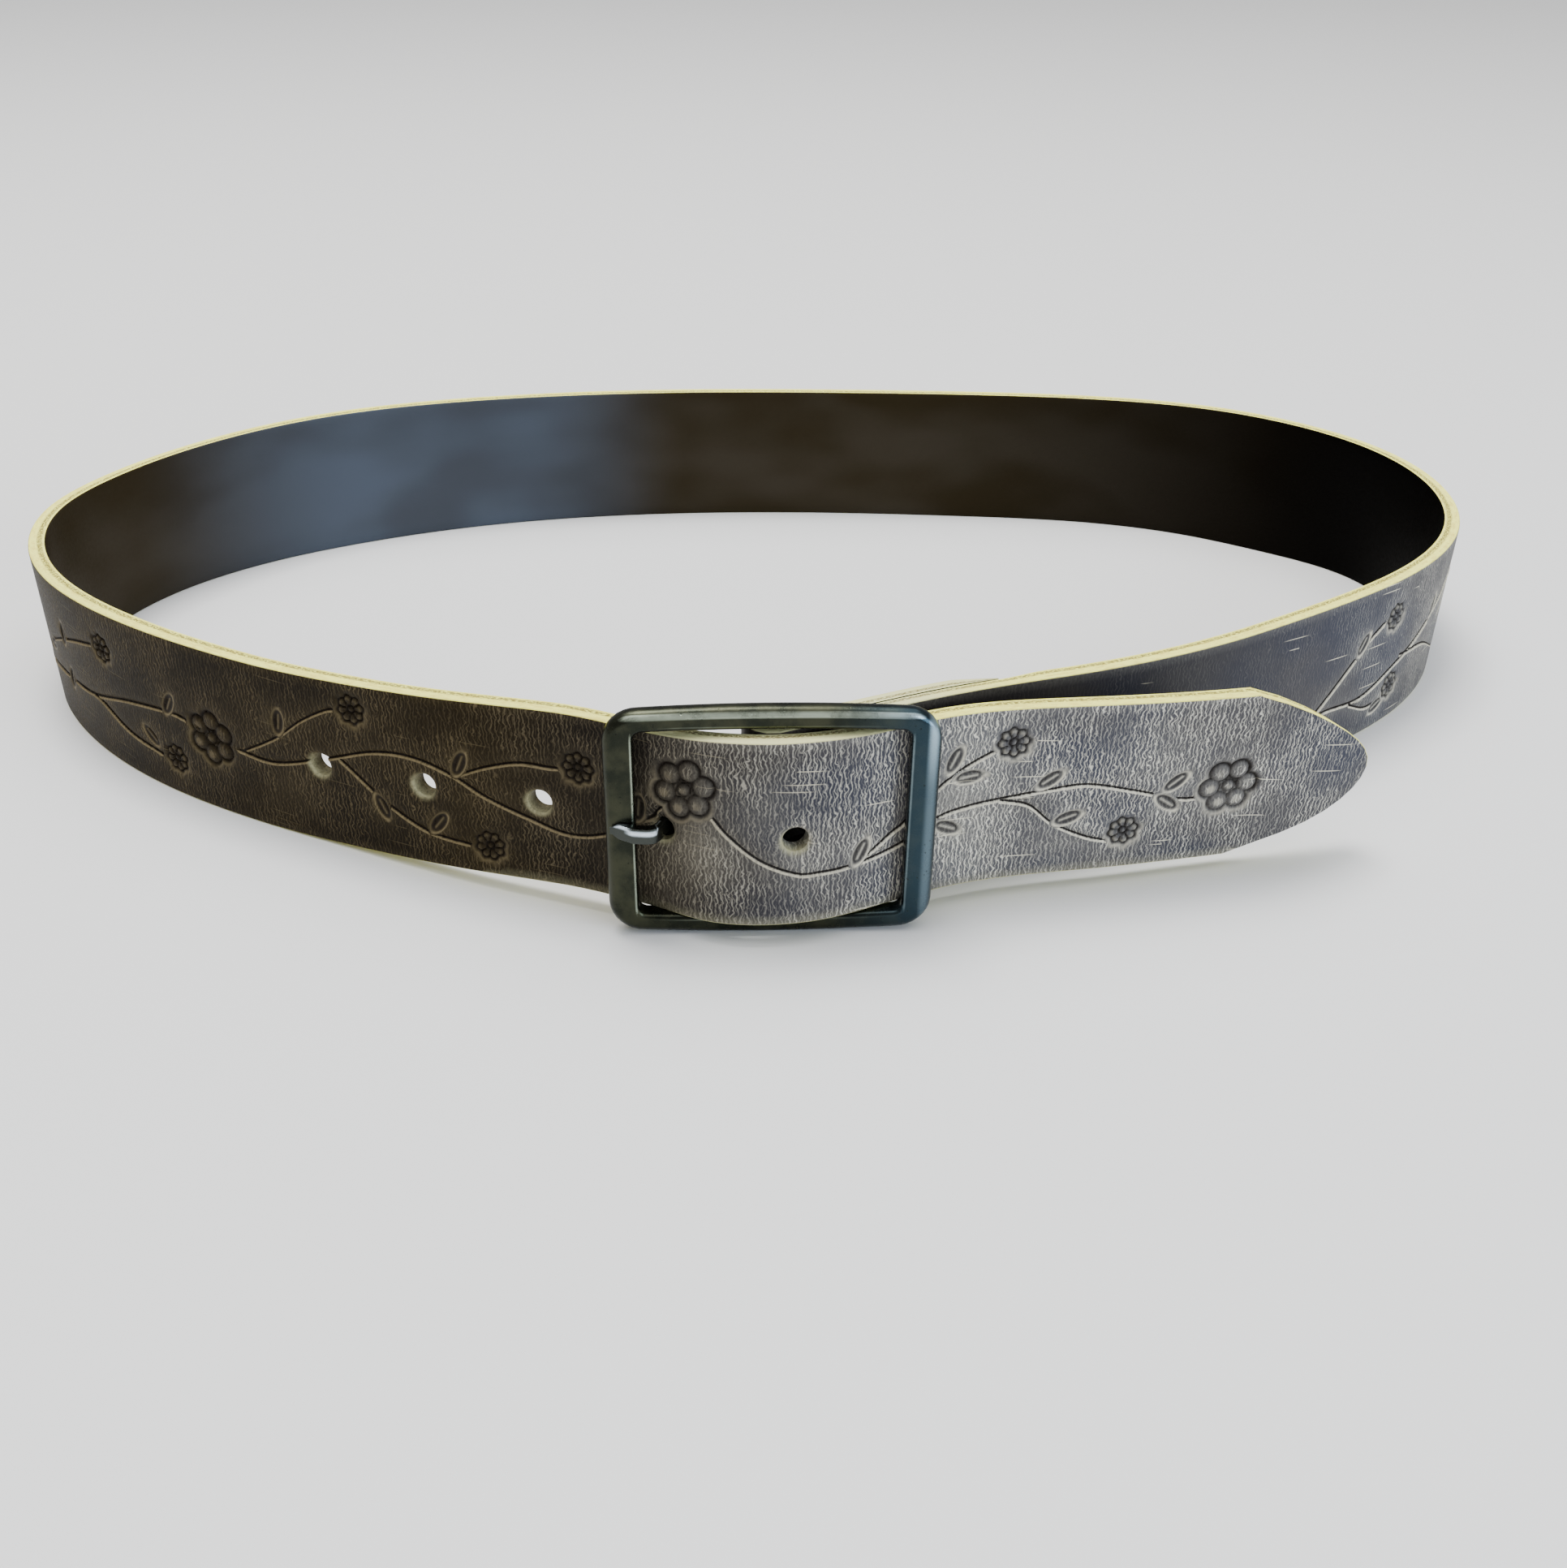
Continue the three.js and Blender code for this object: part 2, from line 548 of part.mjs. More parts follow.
// The prong's shank, swept along its rows, narrowing to a bevelled end.
function prongShank() {
  const hole = route.overBar - HOLE_FROM_BAR;
  const inHole = (depth) => strapPoint(hole + PRONG_SHIFT, HOLE_HEIGHT, depth).setZ(0);
  const mouth = inHole(0);
  const edge = strapPoint(hole + HOLE_RADIUS, HOLE_HEIGHT, STRAP_THICKNESS);
  const behind = edge.y + GAP + PRONG_THICKNESS / 2 + PRONG_EASE;
  const front = -BUCKLE_DEPTH / 2 - GAP - PRONG_THICKNESS / 2;
  const turned = -BUCKLE_HALF + 0.78 * END_BAR_WIDTH;
  const { lerp } = THREE.MathUtils;
  const points = [
    new THREE.Vector3(-BAR_RADIUS - PRONG_ROUND, behind - 1.5 * PRONG_EASE, 0),
    new THREE.Vector3(edge.x / 2, behind - PRONG_EASE, 0),
    new THREE.Vector3(edge.x + HOLE_RADIUS / 2, behind, 0),
    inHole(STRAP_THICKNESS),
    inHole(STRAP_THICKNESS / 2),
    mouth,
  ];
  for (const { along, forward } of PRONG_ROWS) {
    points.push(new THREE.Vector3(lerp(mouth.x, turned, along), lerp(mouth.y, front, forward), 0));
  }
  points.push(new THREE.Vector3(-BUCKLE_HALF - PRONG_END, front, 0));
  const curve = new THREE.CatmullRomCurve3(points, false, "centripetal");
  const steps = 36;
  const rings = [];
  for (let i = 0; i <= steps; i++) {
    const at = i / steps;
    const centre = curve.getPointAt(at);
    const tangent = curve.getTangentAt(at);
    const across = new THREE.Vector3(tangent.y, -tangent.x, 0);
    const nearEnd = THREE.MathUtils.clamp((1 - at) * 9, 0.2, 1);
    const halfWidth = (PRONG_WIDTH / 2) * THREE.MathUtils.lerp(PRONG_NIB, 1, nearEnd);
    const face = (PRONG_THICKNESS / 2) * (1 - 2 * nearEnd);
    const rear = PRONG_THICKNESS / 2;
    const cut = Math.min(PRONG_ROUND, (rear - face) / 3);
    const corners = [
      [-halfWidth, rear - cut],
      [-halfWidth + cut, rear],
      [halfWidth - cut, rear],
      [halfWidth, rear - cut],
      [halfWidth, face + cut],
      [halfWidth - cut, face],
      [-halfWidth + cut, face],
      [-halfWidth, face + cut],
    ];
    rings.push(
      corners.map(([height, depth]) =>
        centre
          .clone()
          .addScaledVector(across, depth)
          .add(new THREE.Vector3(0, 0, PRONG_LEVEL + height)),
      ),
    );
  }
  return loft(rings);
}

// The prong: a ring that turns on the centre bar, and the shank.
function makeProng() {
  const low = new THREE.Vector3(0, BAR_SETBACK, PRONG_LEVEL - PRONG_WIDTH / 2);
  const high = new THREE.Vector3(0, BAR_SETBACK, PRONG_LEVEL + PRONG_WIDTH / 2);
  const beyond = new THREE.Vector3(0, 0, 1);
  const boreRadius = BAR_RADIUS + GAP;
  const ring = toSolid(rod(low, high, boreRadius + PRONG_RING_WALL, 32));
  const bore = toSolid(rod(low.clone().sub(beyond), high.clone().add(beyond), boreRadius, 32));
  return toGeometry(ring.add(toSolid(prongShank())).subtract(bore));
}

// A plain rivet: a post through both legs with a low domed cap on each face.
function makeRivet(along) {
  const { middle, direction } = rivetSeat(along);
  const seat = FOLD_THICKNESS + GAP / 2 + GAP;
  const profile = [
    [0, -seat - RIVET_CAP_HEIGHT],
    [0.6 * RIVET_CAP_RADIUS, -seat - 0.85 * RIVET_CAP_HEIGHT],
    [RIVET_CAP_RADIUS, -seat - 0.3 * RIVET_CAP_HEIGHT],
    [RIVET_CAP_RADIUS, -seat],
    [RIVET_POST_RADIUS, -seat],
    [RIVET_POST_RADIUS, seat],
    [RIVET_CAP_RADIUS, seat],
    [RIVET_CAP_RADIUS, seat + 0.3 * RIVET_CAP_HEIGHT],
    [0.6 * RIVET_CAP_RADIUS, seat + 0.85 * RIVET_CAP_HEIGHT],
    [0, seat + RIVET_CAP_HEIGHT],
  ].map(([r, y]) => new THREE.Vector2(r, y));
  const geometry = new THREE.LatheGeometry(profile, 24);
  const up = new THREE.Vector3(0, 1, 0);
  geometry.applyQuaternion(new THREE.Quaternion().setFromUnitVectors(up, direction));
  geometry.translate(middle.x, middle.y, middle.z);
  return toGeometry(toSolid(geometry));
}

const leather = new THREE.MeshStandardMaterial({ color: 0x4a3b30, roughness: 0.6, metalness: 0 });
const casting = new THREE.MeshStandardMaterial({ color: 0x3d4644, roughness: 0.4, metalness: 0.9 });
const steel = new THREE.MeshStandardMaterial({ color: 0x6d7270, roughness: 0.35, metalness: 0.9 });

const belt = new THREE.Group();
function addPiece(name, geometry, material) {
  const mesh = new THREE.Mesh(geometry, material);
  mesh.name = name;
  belt.add(mesh);
}

addPiece("strap", makeStrap(), leather);
addPiece("buckle_frame", makeBuckleFrame(), casting);
addPiece("prong", makeProng(), steel);
for (const { name, along } of RIVETS) addPiece(name, makeRivet(along), casting);

// The origin goes to the middle of the belt's footprint, on the ground.
const bounds = new THREE.Box3().setFromObject(belt);
const footprint = bounds.getCenter(new THREE.Vector3()).setZ(bounds.min.z);
belt.position.sub(footprint);

export default belt;
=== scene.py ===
"""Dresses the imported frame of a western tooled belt: leather, cast buckle, floor, light and camera."""

import math

import bpy
import numpy as np
from mathutils import Matrix, Vector
from mathutils.kdtree import KDTree


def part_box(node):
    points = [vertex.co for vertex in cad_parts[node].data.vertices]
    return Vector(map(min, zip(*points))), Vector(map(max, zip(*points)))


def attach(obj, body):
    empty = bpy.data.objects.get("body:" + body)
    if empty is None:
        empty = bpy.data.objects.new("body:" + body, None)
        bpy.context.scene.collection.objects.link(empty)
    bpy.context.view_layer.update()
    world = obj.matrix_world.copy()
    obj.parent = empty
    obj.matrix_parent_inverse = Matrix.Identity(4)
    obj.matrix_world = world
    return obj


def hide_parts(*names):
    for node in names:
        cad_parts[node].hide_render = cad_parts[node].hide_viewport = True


bl_info = {
    "name": "Tooled Leather Belt",
    "version": (1, 0, 0),
    "blender": (4, 5, 0),
    "location": "View3D > Sidebar > Belt",
    "description": "Models a carved leather belt with a cast buckle over its packed frame",
    "category": "Add Mesh",
}

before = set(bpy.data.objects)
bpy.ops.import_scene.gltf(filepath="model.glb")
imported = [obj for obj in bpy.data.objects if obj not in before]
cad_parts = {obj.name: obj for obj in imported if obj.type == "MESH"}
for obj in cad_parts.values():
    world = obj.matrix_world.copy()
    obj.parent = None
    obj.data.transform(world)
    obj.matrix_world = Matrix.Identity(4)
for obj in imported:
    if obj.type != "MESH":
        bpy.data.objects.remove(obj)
bpy.ops.object.select_all(action="DESELECT")
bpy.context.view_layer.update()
BUCKLE_LOW, BUCKLE_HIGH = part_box("buckle_frame")
MM = 0.001

# The strap, as the frame has it, in metres and degrees
STRAP_WIDTH = 38 * MM
STRAP_THICKNESS = 3.8 * MM
TIP_TAPER = 31.5 * MM
FOLD_THICKNESS = 2.8 * MM
FOLD_LENGTH = 47 * MM
FOLD_END_BEVEL = 9 * MM
FOLD_END_THICKNESS = 0.25 * MM
SKIVE_RUN = 12 * MM
LEG_ANGLE = math.radians(23.7)
LEG_STRAIGHT = 58 * MM
LOOP_LEFT = 172 * MM
LOOP_RIGHT = 180 * MM
LOOP_DEPTH = 225 * MM
TIP_REACH = 92.1 * MM
TIP_LIFT = 3.5 * MM
TIP_DROP = 3 * MM
LIFT_RUN = 90 * MM
LIFT_HOLD = 25 * MM
HOLE_RADIUS = 2.5 * MM
HOLE_SPACING = 25.4 * MM
HOLE_COUNT = 5
HOLE_HEIGHT = 18 * MM
HOLE_TO_END_BAR = 3.8 * MM
SLOT_HALF_HEIGHT = 2.6 * MM
RIVET_HOLE = 1.8 * MM
SLOT_LEG = 7 * MM
GAP = 0.3 * MM
FOLD_GAP = 0.05 * MM
SAMPLE_STEP = 0.5 * MM

# The buckle
BUCKLE_LENGTH = BUCKLE_HIGH.x - BUCKLE_LOW.x
BUCKLE_HEIGHT = BUCKLE_HIGH.z - BUCKLE_LOW.z
BUCKLE_HALF = BUCKLE_LENGTH / 2
BUCKLE_DEPTH = 4.2 * MM
RAIL_HEIGHT = 4.2 * MM
RAIL_SAG = 0.45 * MM
RING_SAG = 0.7 * MM
END_BAR_WIDTH = 5.6 * MM
CORNER_RADIUS = 6.5 * MM
WINDOW_CORNER = 1.8 * MM
BAR_RADIUS = 2.4 * MM
BAR_SETBACK = 4.8 * MM
LUG_WIDTH = 6.6 * MM
LUG_WALL = 0.3 * MM
LUG_END_HEIGHT = 0.9 * MM
LUG_SKIN = 0.8 * MM
LUG_ROUND = 0.35 * MM
LUG_INNER = RAIL_HEIGHT + RAIL_SAG
PRONG_WIDTH = 2.8 * MM
PRONG_THICKNESS = 1.8 * MM
PRONG_OVER_HOLE = 0.4 * MM
PRONG_SHIFT = 0.8 * MM
PRONG_RING_WALL = 1.8 * MM
PRONG_EASE = 0.4 * MM
PRONG_END = -0.9 * MM
PRONG_RISE = 0.7 * MM
PRONG_WIDER = 1.6 * MM

STRAP_LIFT = LUG_INNER + GAP
PRONG_LEVEL = STRAP_LIFT + HOLE_HEIGHT + PRONG_OVER_HOLE
TURN_RADIUS = BAR_RADIUS + GAP + FOLD_THICKNESS
PASS_BACK = BUCKLE_DEPTH / 2 + GAP
PASS_FRONT = BAR_SETBACK - TURN_RADIUS - GAP - STRAP_THICKNESS
HOLE_FROM_BAR = BUCKLE_HALF - END_BAR_WIDTH - HOLE_TO_END_BAR
BUCKLE_PLACE = Vector(((BUCKLE_LOW.x + BUCKLE_HIGH.x) / 2, BUCKLE_LOW.y + BUCKLE_DEPTH / 2, 0))

# The strap's upper grain edge from above: (share of the left or right reach, share of the depth, lean)
LOOP_ROWS = (
    (0.522, 0.194, 0), (0.699, 0.281, 0), (0.861, 0.382, 0), (0.95, 0.476, 0), (0.998, 0.6, -1),
    (0.971, 0.752, -1), (0.886, 0.852, 6), (0.777, 0.917, 7), (0.594, 0.965, 4), (0.386, 0.986, 2.5),
    (0.114, 0.997, 0.6), (-0.166, 0.994, 1), (-0.443, 0.964, 3.2), (-0.699, 0.892, 5), (-0.849, 0.796, 0),
    (-0.959, 0.667, -3), (-0.997, 0.569, -1), (-0.98, 0.464, 0), (-0.921, 0.374, 1), (-0.797, 0.275, 0),
    (-0.654, 0.199, -0.5), (-0.495, 0.132, 0), (-0.349, 0.076, 0),
)
# Through the buckle: (share of the buckle's half length, 0 behind the rails to 1 over the bar, lean)
PASS_ROWS = (
    (-0.99, -0.35, 0), (-0.674, 0.28, 0), (-0.365, 0.8, -2.2), (-0.03, 1, -2.3), (0.335, 0.83, -1.5),
    (0.64, 0.45, 0), (0.887, -0.03, 0),
)
# The free end: (share of the tip's reach past the buckle, share of it behind the rails, lean)
TIP_ROWS = (
    (0.066, 0.039, 0.5), (0.235, 0.07, 2), (0.405, 0.092, 3.2), (0.58, 0.118, 4.5), (0.689, 0.136, 5),
    (0.841, 0.173, 5), (1, 0.232, 5),
)
# The prong from the front of its hole to the end bar: (share of the way along, share of the way forwards)
PRONG_ROWS = ((0.09, 0.45), (0.3, 0.9), (0.6, 1), (1, 1))

# The carving, in millimetres. A spray starts at one big flower and ends at the next, SPRAY_LENGTH on.
SPRAY_LENGTH = 110
# Stems are rows of (along, up), small flowers and leaves (along, up, turn), and the end flower (up, turn).
RISING_SPRAY = {
    "stems": (
        ((8, -0.7), (17.5, -1.1), (30.6, 2.6), (43, 6.4), (52.7, 6.8), (61.7, 4.1), (68.6, 0.4),
         (77.2, -2.8), (85.6, -5.2), (93.2, -3.6), (101, 1.5), (107, 7)),
        ((9, -0.5), (18.5, 4.9), (25.7, 10.2), (32.4, 13.8), (36, 14.6)),
        ((62.6, 4.4), (69.2, 7.1), (76.3, 8.9), (83, 8.8), (86, 9.2)),
        ((35, 3.1), (40, -0.9), (45.3, -5), (54.4, -9.6), (63.7, -11), (66, -11)),
    ),
    "small_flowers": ((39, 15.1, 10), (88.5, 9.7, 0), (68.5, -10.7, 15)),
    "leaves": ((19.8, 8.8, 80), (63.3, 7, 65), (43.9, -5.9, -65), (57.3, -7.2, 50), (100.6, 4.2, 85)),
    "end": (10, 15),
}
FALLING_SPRAY = {
    "stems": (
        ((5.4, -4.4), (8.8, -8.5), (14.6, -13.4), (21.2, -16.4), (25.4, -16.6), (29.7, -16.5), (35.5, -15.8),
         (42.6, -14.1), (50, -10.6), (56.8, -9.3), (64.9, -8.4), (73, -7.4), (80.3, -6.9), (89.8, -9),
         (99.6, -11.8), (104, -12)),
        ((33, -16.2), (39.6, -11.5), (42.4, -9.9), (49.5, -4.2), (54.4, -0.9), (61, 2.4)),
        ((62.6, -9), (68.5, -10.7), (73.9, -15.4), (81.1, -19.1), (86.5, -20.6)),
    ),
    "small_flowers": ((64.1, 3.5, 5), (88.9, -18.4, 12)),
    "leaves": (
        (52.5, 1.2, 65), (55.7, -2.9, 5), (72.2, -5.2, 35), (98.4, -7.8, 40), (97.2, -12.5, -35),
        (51.9, -13.3, -25), (76.8, -14.3, 20), (33.4, -13.8, 65),
    ),
    "end": (-10, 5),
}
# The stretch left of the third flower, as the carver varied it
VARIED_SPRAY = {
    "stems": (
        ((5.4, -4.4), (10, -9.5), (18, -14.5), (28, -17), (37, -16.4), (47, -14.2), (57.5, -13.2),
         (69, -12.5), (84.5, -8.9), (99.4, -7.2), (108, -9)),
        ((37, -16.2), (42, -10.2), (51, -5.5), (63, -1.4), (73.5, 1.1)),
        ((69, -12.6), (73, -13.2), (82, -17.1), (93, -18.9)),
    ),
    "small_flowers": ((77.5, 1.5, 5), (98, -18.3, 12)),
    "leaves": ((58, -1.6, 80), (57, -13, 70), (98.5, -5.2, 60), (90.5, -15.2, -40), (46, -8.6, 20)),
    "end": (-10, 25),
}
# The stretch at the right that goes under the free end
SIDE_SPRAY = {
    "stems": (
        ((6, -2), (16, -7.5), (28, -8.6), (40, -6.4), (54, -6.9), (66, -3.2), (80, 1.7), (103, 12)),
        ((36, -6.6), (41, -2.4), (52, 7.2), (58, 10.8)),
        ((50, -7.6), (58, -10.6), (66, -9.4)),
        ((70, -0.8), (84, -2.6), (98, -8.6)),
    ),
    "small_flowers": ((63, 11.2, 8), (67.5, -7.8, 3)),
    "leaves": ((51, 7.6, 60), (62.5, -11.6, 20), (86, 6.6, 70), (97, 3.2, 40)),
    "end": (10, 12),
}
LOW_FLOWER = 17.2  # height of the low big flowers over the strap's lower edge
HIGH_FLOWER = 27.2
# Where each spray starts, in millimetres before (-) or past the centre bar, its length, and its pattern
SPRAYS = (
    (-806, 110, LOW_FLOWER, SIDE_SPRAY),
    (-696, 114, HIGH_FLOWER, FALLING_SPRAY),
    (-582, 114, LOW_FLOWER, RISING_SPRAY),
    (-468, 114, HIGH_FLOWER, FALLING_SPRAY),
    (-354, 116, LOW_FLOWER, RISING_SPRAY),
    (-238, 111.7, HIGH_FLOWER, VARIED_SPRAY),
    (-126.3, 109.9, LOW_FLOWER, RISING_SPRAY),
    (-16.4, 109.9, HIGH_FLOWER, FALLING_SPRAY),
)
# Tan, rubbed patches: (mm past the bar, mm up, mm long, mm high, strength)
RUBBED_PATCHES = (
    (-14, 16, 9, 10, 0.9),
    (-2, 24, 8, 9, 0.35),
    (6, 14, 8, 8, 0.55),
    (38, 20, 13, 30, 1.0),
    (62, 9, 16, 8, 0.4),
    (78, 24, 14, 12, 0.35),
    (-24, 10, 12, 14, 0.45),
    (-60, 17, 30, 9, 0.3),
    (-103, 12, 10, 9, 0.45),
)

# The camera: millimetres from the buckle's middle, degrees to the right, down and of roll, and the lens
CAMERA_PLACE = (-10.7, -244.6, 176.8)
CAMERA_TURN = 3.0
CAMERA_PITCH = 30.6
CAMERA_ROLL = 0.884
CAMERA_LENS = 36.04
# Soft lights: name, place in metres, (width, height), watts, colour
LIGHTS = (
    ("cool_front", (0.95, -0.85, 0.5), (0.7, 0.5), 12, (0.74, 0.86, 1.0)),
    ("top", (-0.25, 0.2, 1.7), (0.7, 0.7), 34, (1.0, 0.99, 0.96)),
    ("wide", (0.0, 0.3, 5.0), (7.0, 7.0), 385, (1.0, 1.0, 1.0)),
)
WORLD_STRENGTH = 0.38
BLUE_SHEEN_SIDE = (4, 30)  # where the casting turns bluish by painted sheen, in millimetres across the frame
BLUE_GLINT_BAND = 24.4  # the painted highlight band along the right end bar
BLUE_GLINT_RISE = (30, 45)  # the heights between which that band grows lighter
# The cut edge is duller and less yellow, as painted shade, so many millimetres on both sides of the bar, and
# ends so softly
SHADED_EDGE = (20, 8)
SHADED_FOLD = (90, 120)  # where the fold's duller cut edge, painted shade, ends, in millimetres along the strap
# Stretches of the inner face, as (from, to) in millimetres along the strap: where its painted shade, nearly
# black, fades out, and where its painted bluish sheen begins and ends
SHADED_SIDE = (330, 500)
SHEEN_START = (545, 600)
SHEEN_END = (640, 720)
SMOOTH_START = (190, 290)  # where the creases of the outer face begin to show

# How grey the outer face is: partly the leather's own greyer tone, partly a painted cool sheen on the
# stretches that face the light at the right, and kept low behind the free end as painted shade: (mm past the
# bar), (share)
ASH_AND_SHEEN_SIDE = (
    (-860, -800, -740, -600, -60, -30, -16, -3, 18, 60),
    (0.25, 0.8, 1.0, 0.1, 0.0, 0.06, 0.2, 0.5, 0.95, 1.0),
)

# The used hole, as the prong pulls it
HOLE_CLOSING = 1.5 * MM
CLOSING_REACH = (1.7, 0.7)  # where the closing ends and how softly, in radii of the hole
STRAP_SAG = 0.65 * MM
SAG_BEFORE_HOLE = 3 * MM
SAG_REACH = 19 * MM

# The strap's mesh
GRID_CELL = 2.4 * MM
# How far from an opening, and in millimetres from stems and from stamps, the cells are halved, step by step
OPENING_REACHES = (3.2 * MM, 1.6 * MM, 0.7 * MM)
CARVING_REACHES = ((2.8, 2.4), (1.7, 1.2), (0.75, 0.45))
RIM_REACH = 0.5 * MM
HOLE_WALL_REACH = 0.6 * MM
EDGE_EASE = 0.45 * MM
GRAIN_SIDE = -0.02 * MM
FAR = 1e3

# The buckle's mesh, its rubbed lines with their painted highlights, and its rivets
CORNER_SEGMENTS = 8
SIDE_CUTS = 15
ROUND_SEGMENTS = 7
CREST = (1.9 * MM, 1.15 * MM)  # the rubbed crest, which also carries a painted highlight: in front of the ring's middle, below its top
WINDOW_LINE = (0.45 * MM, 0.25 * MM)  # the rubbed line, which also carries a painted highlight: outside the window, behind the front
WINDOW_TRIM = 0.3 * MM
NO_CREST = 9 * MM
RIVET_POST = 1.5 * MM
RIVET_CAP = 4 * MM
CAP_DOME = 0.25
CAP_OVERLAP = 0.2 * MM

# The prong's mesh
PRONG_CELLS = (60, 4)
PRONG_TURN = 0.78  # where on the end bar the prong is level, as a share of the bar's width
SHANK_TAPER = (0.45, 0.65)  # share of the half width at the end, and what it gains along the slant
WIDER_FROM = 3.5 * MM  # in front of the bar
WIDER_DOWN = 0.8
PRONG_EASED = 0.45 * MM

# Where the finish is worn: (share, reach in millimetres)
STEM_WEAR = (0.5, 1.6)
STAMP_WEAR = (0.6, 1.8)
EDGE_WEAR = (0.9, 0.5)
HOLE_WEAR = 1.1
HOLE_DISH = (0.7, 0.5)
LOWER_EDGE_BARE = (0.8, 0.4)
BARE_FROM = -60

# Finishes
COARSE_CREASES = {"Spacing": 0.98, "Wave": 2.0, "Width": 0.22}
FINE_CREASES = {"Spacing": 0.65, "Wave": 1.4, "Width": 0.24}
SCRATCH_AMOUNT = 0.15
GRAIN_GLOSS = 0.05
FLESH_GLOSS = 0.03
EDGE_GLOSS = 0.1

# The studio, in metres
FLOOR_SIZE = 40
LIGHT_AIM = Vector((0, 0, 0.02))
CAMERA_SENSOR = 36
CAMERA_CLIP = (0.01, 100)

CUT_DEPTH = 0.6  # millimetres, as are the other sizes of the carving
STEM_SLOPE = 0.6
LEAF_LENGTH = 5.0
LEAF_WIDTH = 2.4
SMALL_FLOWER_RADIUS = 2.95
PETAL_RING = 3.95
PETAL_RADIUS = 2.15
FLOWER_EYE = 1.3


def smooth(t):
    """The smooth step from 0 to 1."""
    t = np.clip(t, 0, 1)
    return t * t * (3 - 2 * t)


def bell(value, width):
    """A bell curve over a value, 1 at zero."""
    return np.exp(-((value / width) ** 2))


def fade(value, reach):
    """1 up to zero, and fading out above it."""
    return np.exp(-np.maximum(value, 0) / reach)


def spline_through(rows, start_slope):
    """Samples of a cubic spline through rows of numbers, clamped at its start and free at its end."""
    rows = np.array(rows, float)
    last = len(rows) - 1
    chords = np.hypot(*np.diff(rows[:, :2], axis=0).T)
    slopes = np.diff(rows, axis=0) / chords[:, None]
    matrix = np.eye(last + 1)
    right = np.zeros_like(rows)
    matrix[0, :2] = 2 * chords[0], chords[0]
    right[0] = 6 * (slopes[0] - start_slope)
    for i in range(1, last):
        matrix[i, i - 1 : i + 2] = chords[i - 1], 2 * (chords[i - 1] + chords[i]), chords[i]
        right[i] = 6 * (slopes[i] - slopes[i - 1])
    bends = np.linalg.solve(matrix, right)
    knots = np.concatenate([[0], np.cumsum(chords)])
    t = np.linspace(0, knots[-1], round(knots[-1] / SAMPLE_STEP) + 1)
    piece = np.clip(np.searchsorted(knots, t, side="right") - 1, 0, last - 1)
    u = (t - knots[piece])[:, None]
    h = chords[piece][:, None]
    low, high = bends[piece], bends[piece + 1]
    first = slopes[piece] - h * (2 * low + high) / 6
    return rows[piece] + u * first + u * u * low / 2 + u**3 * (high - low) / (6 * h)


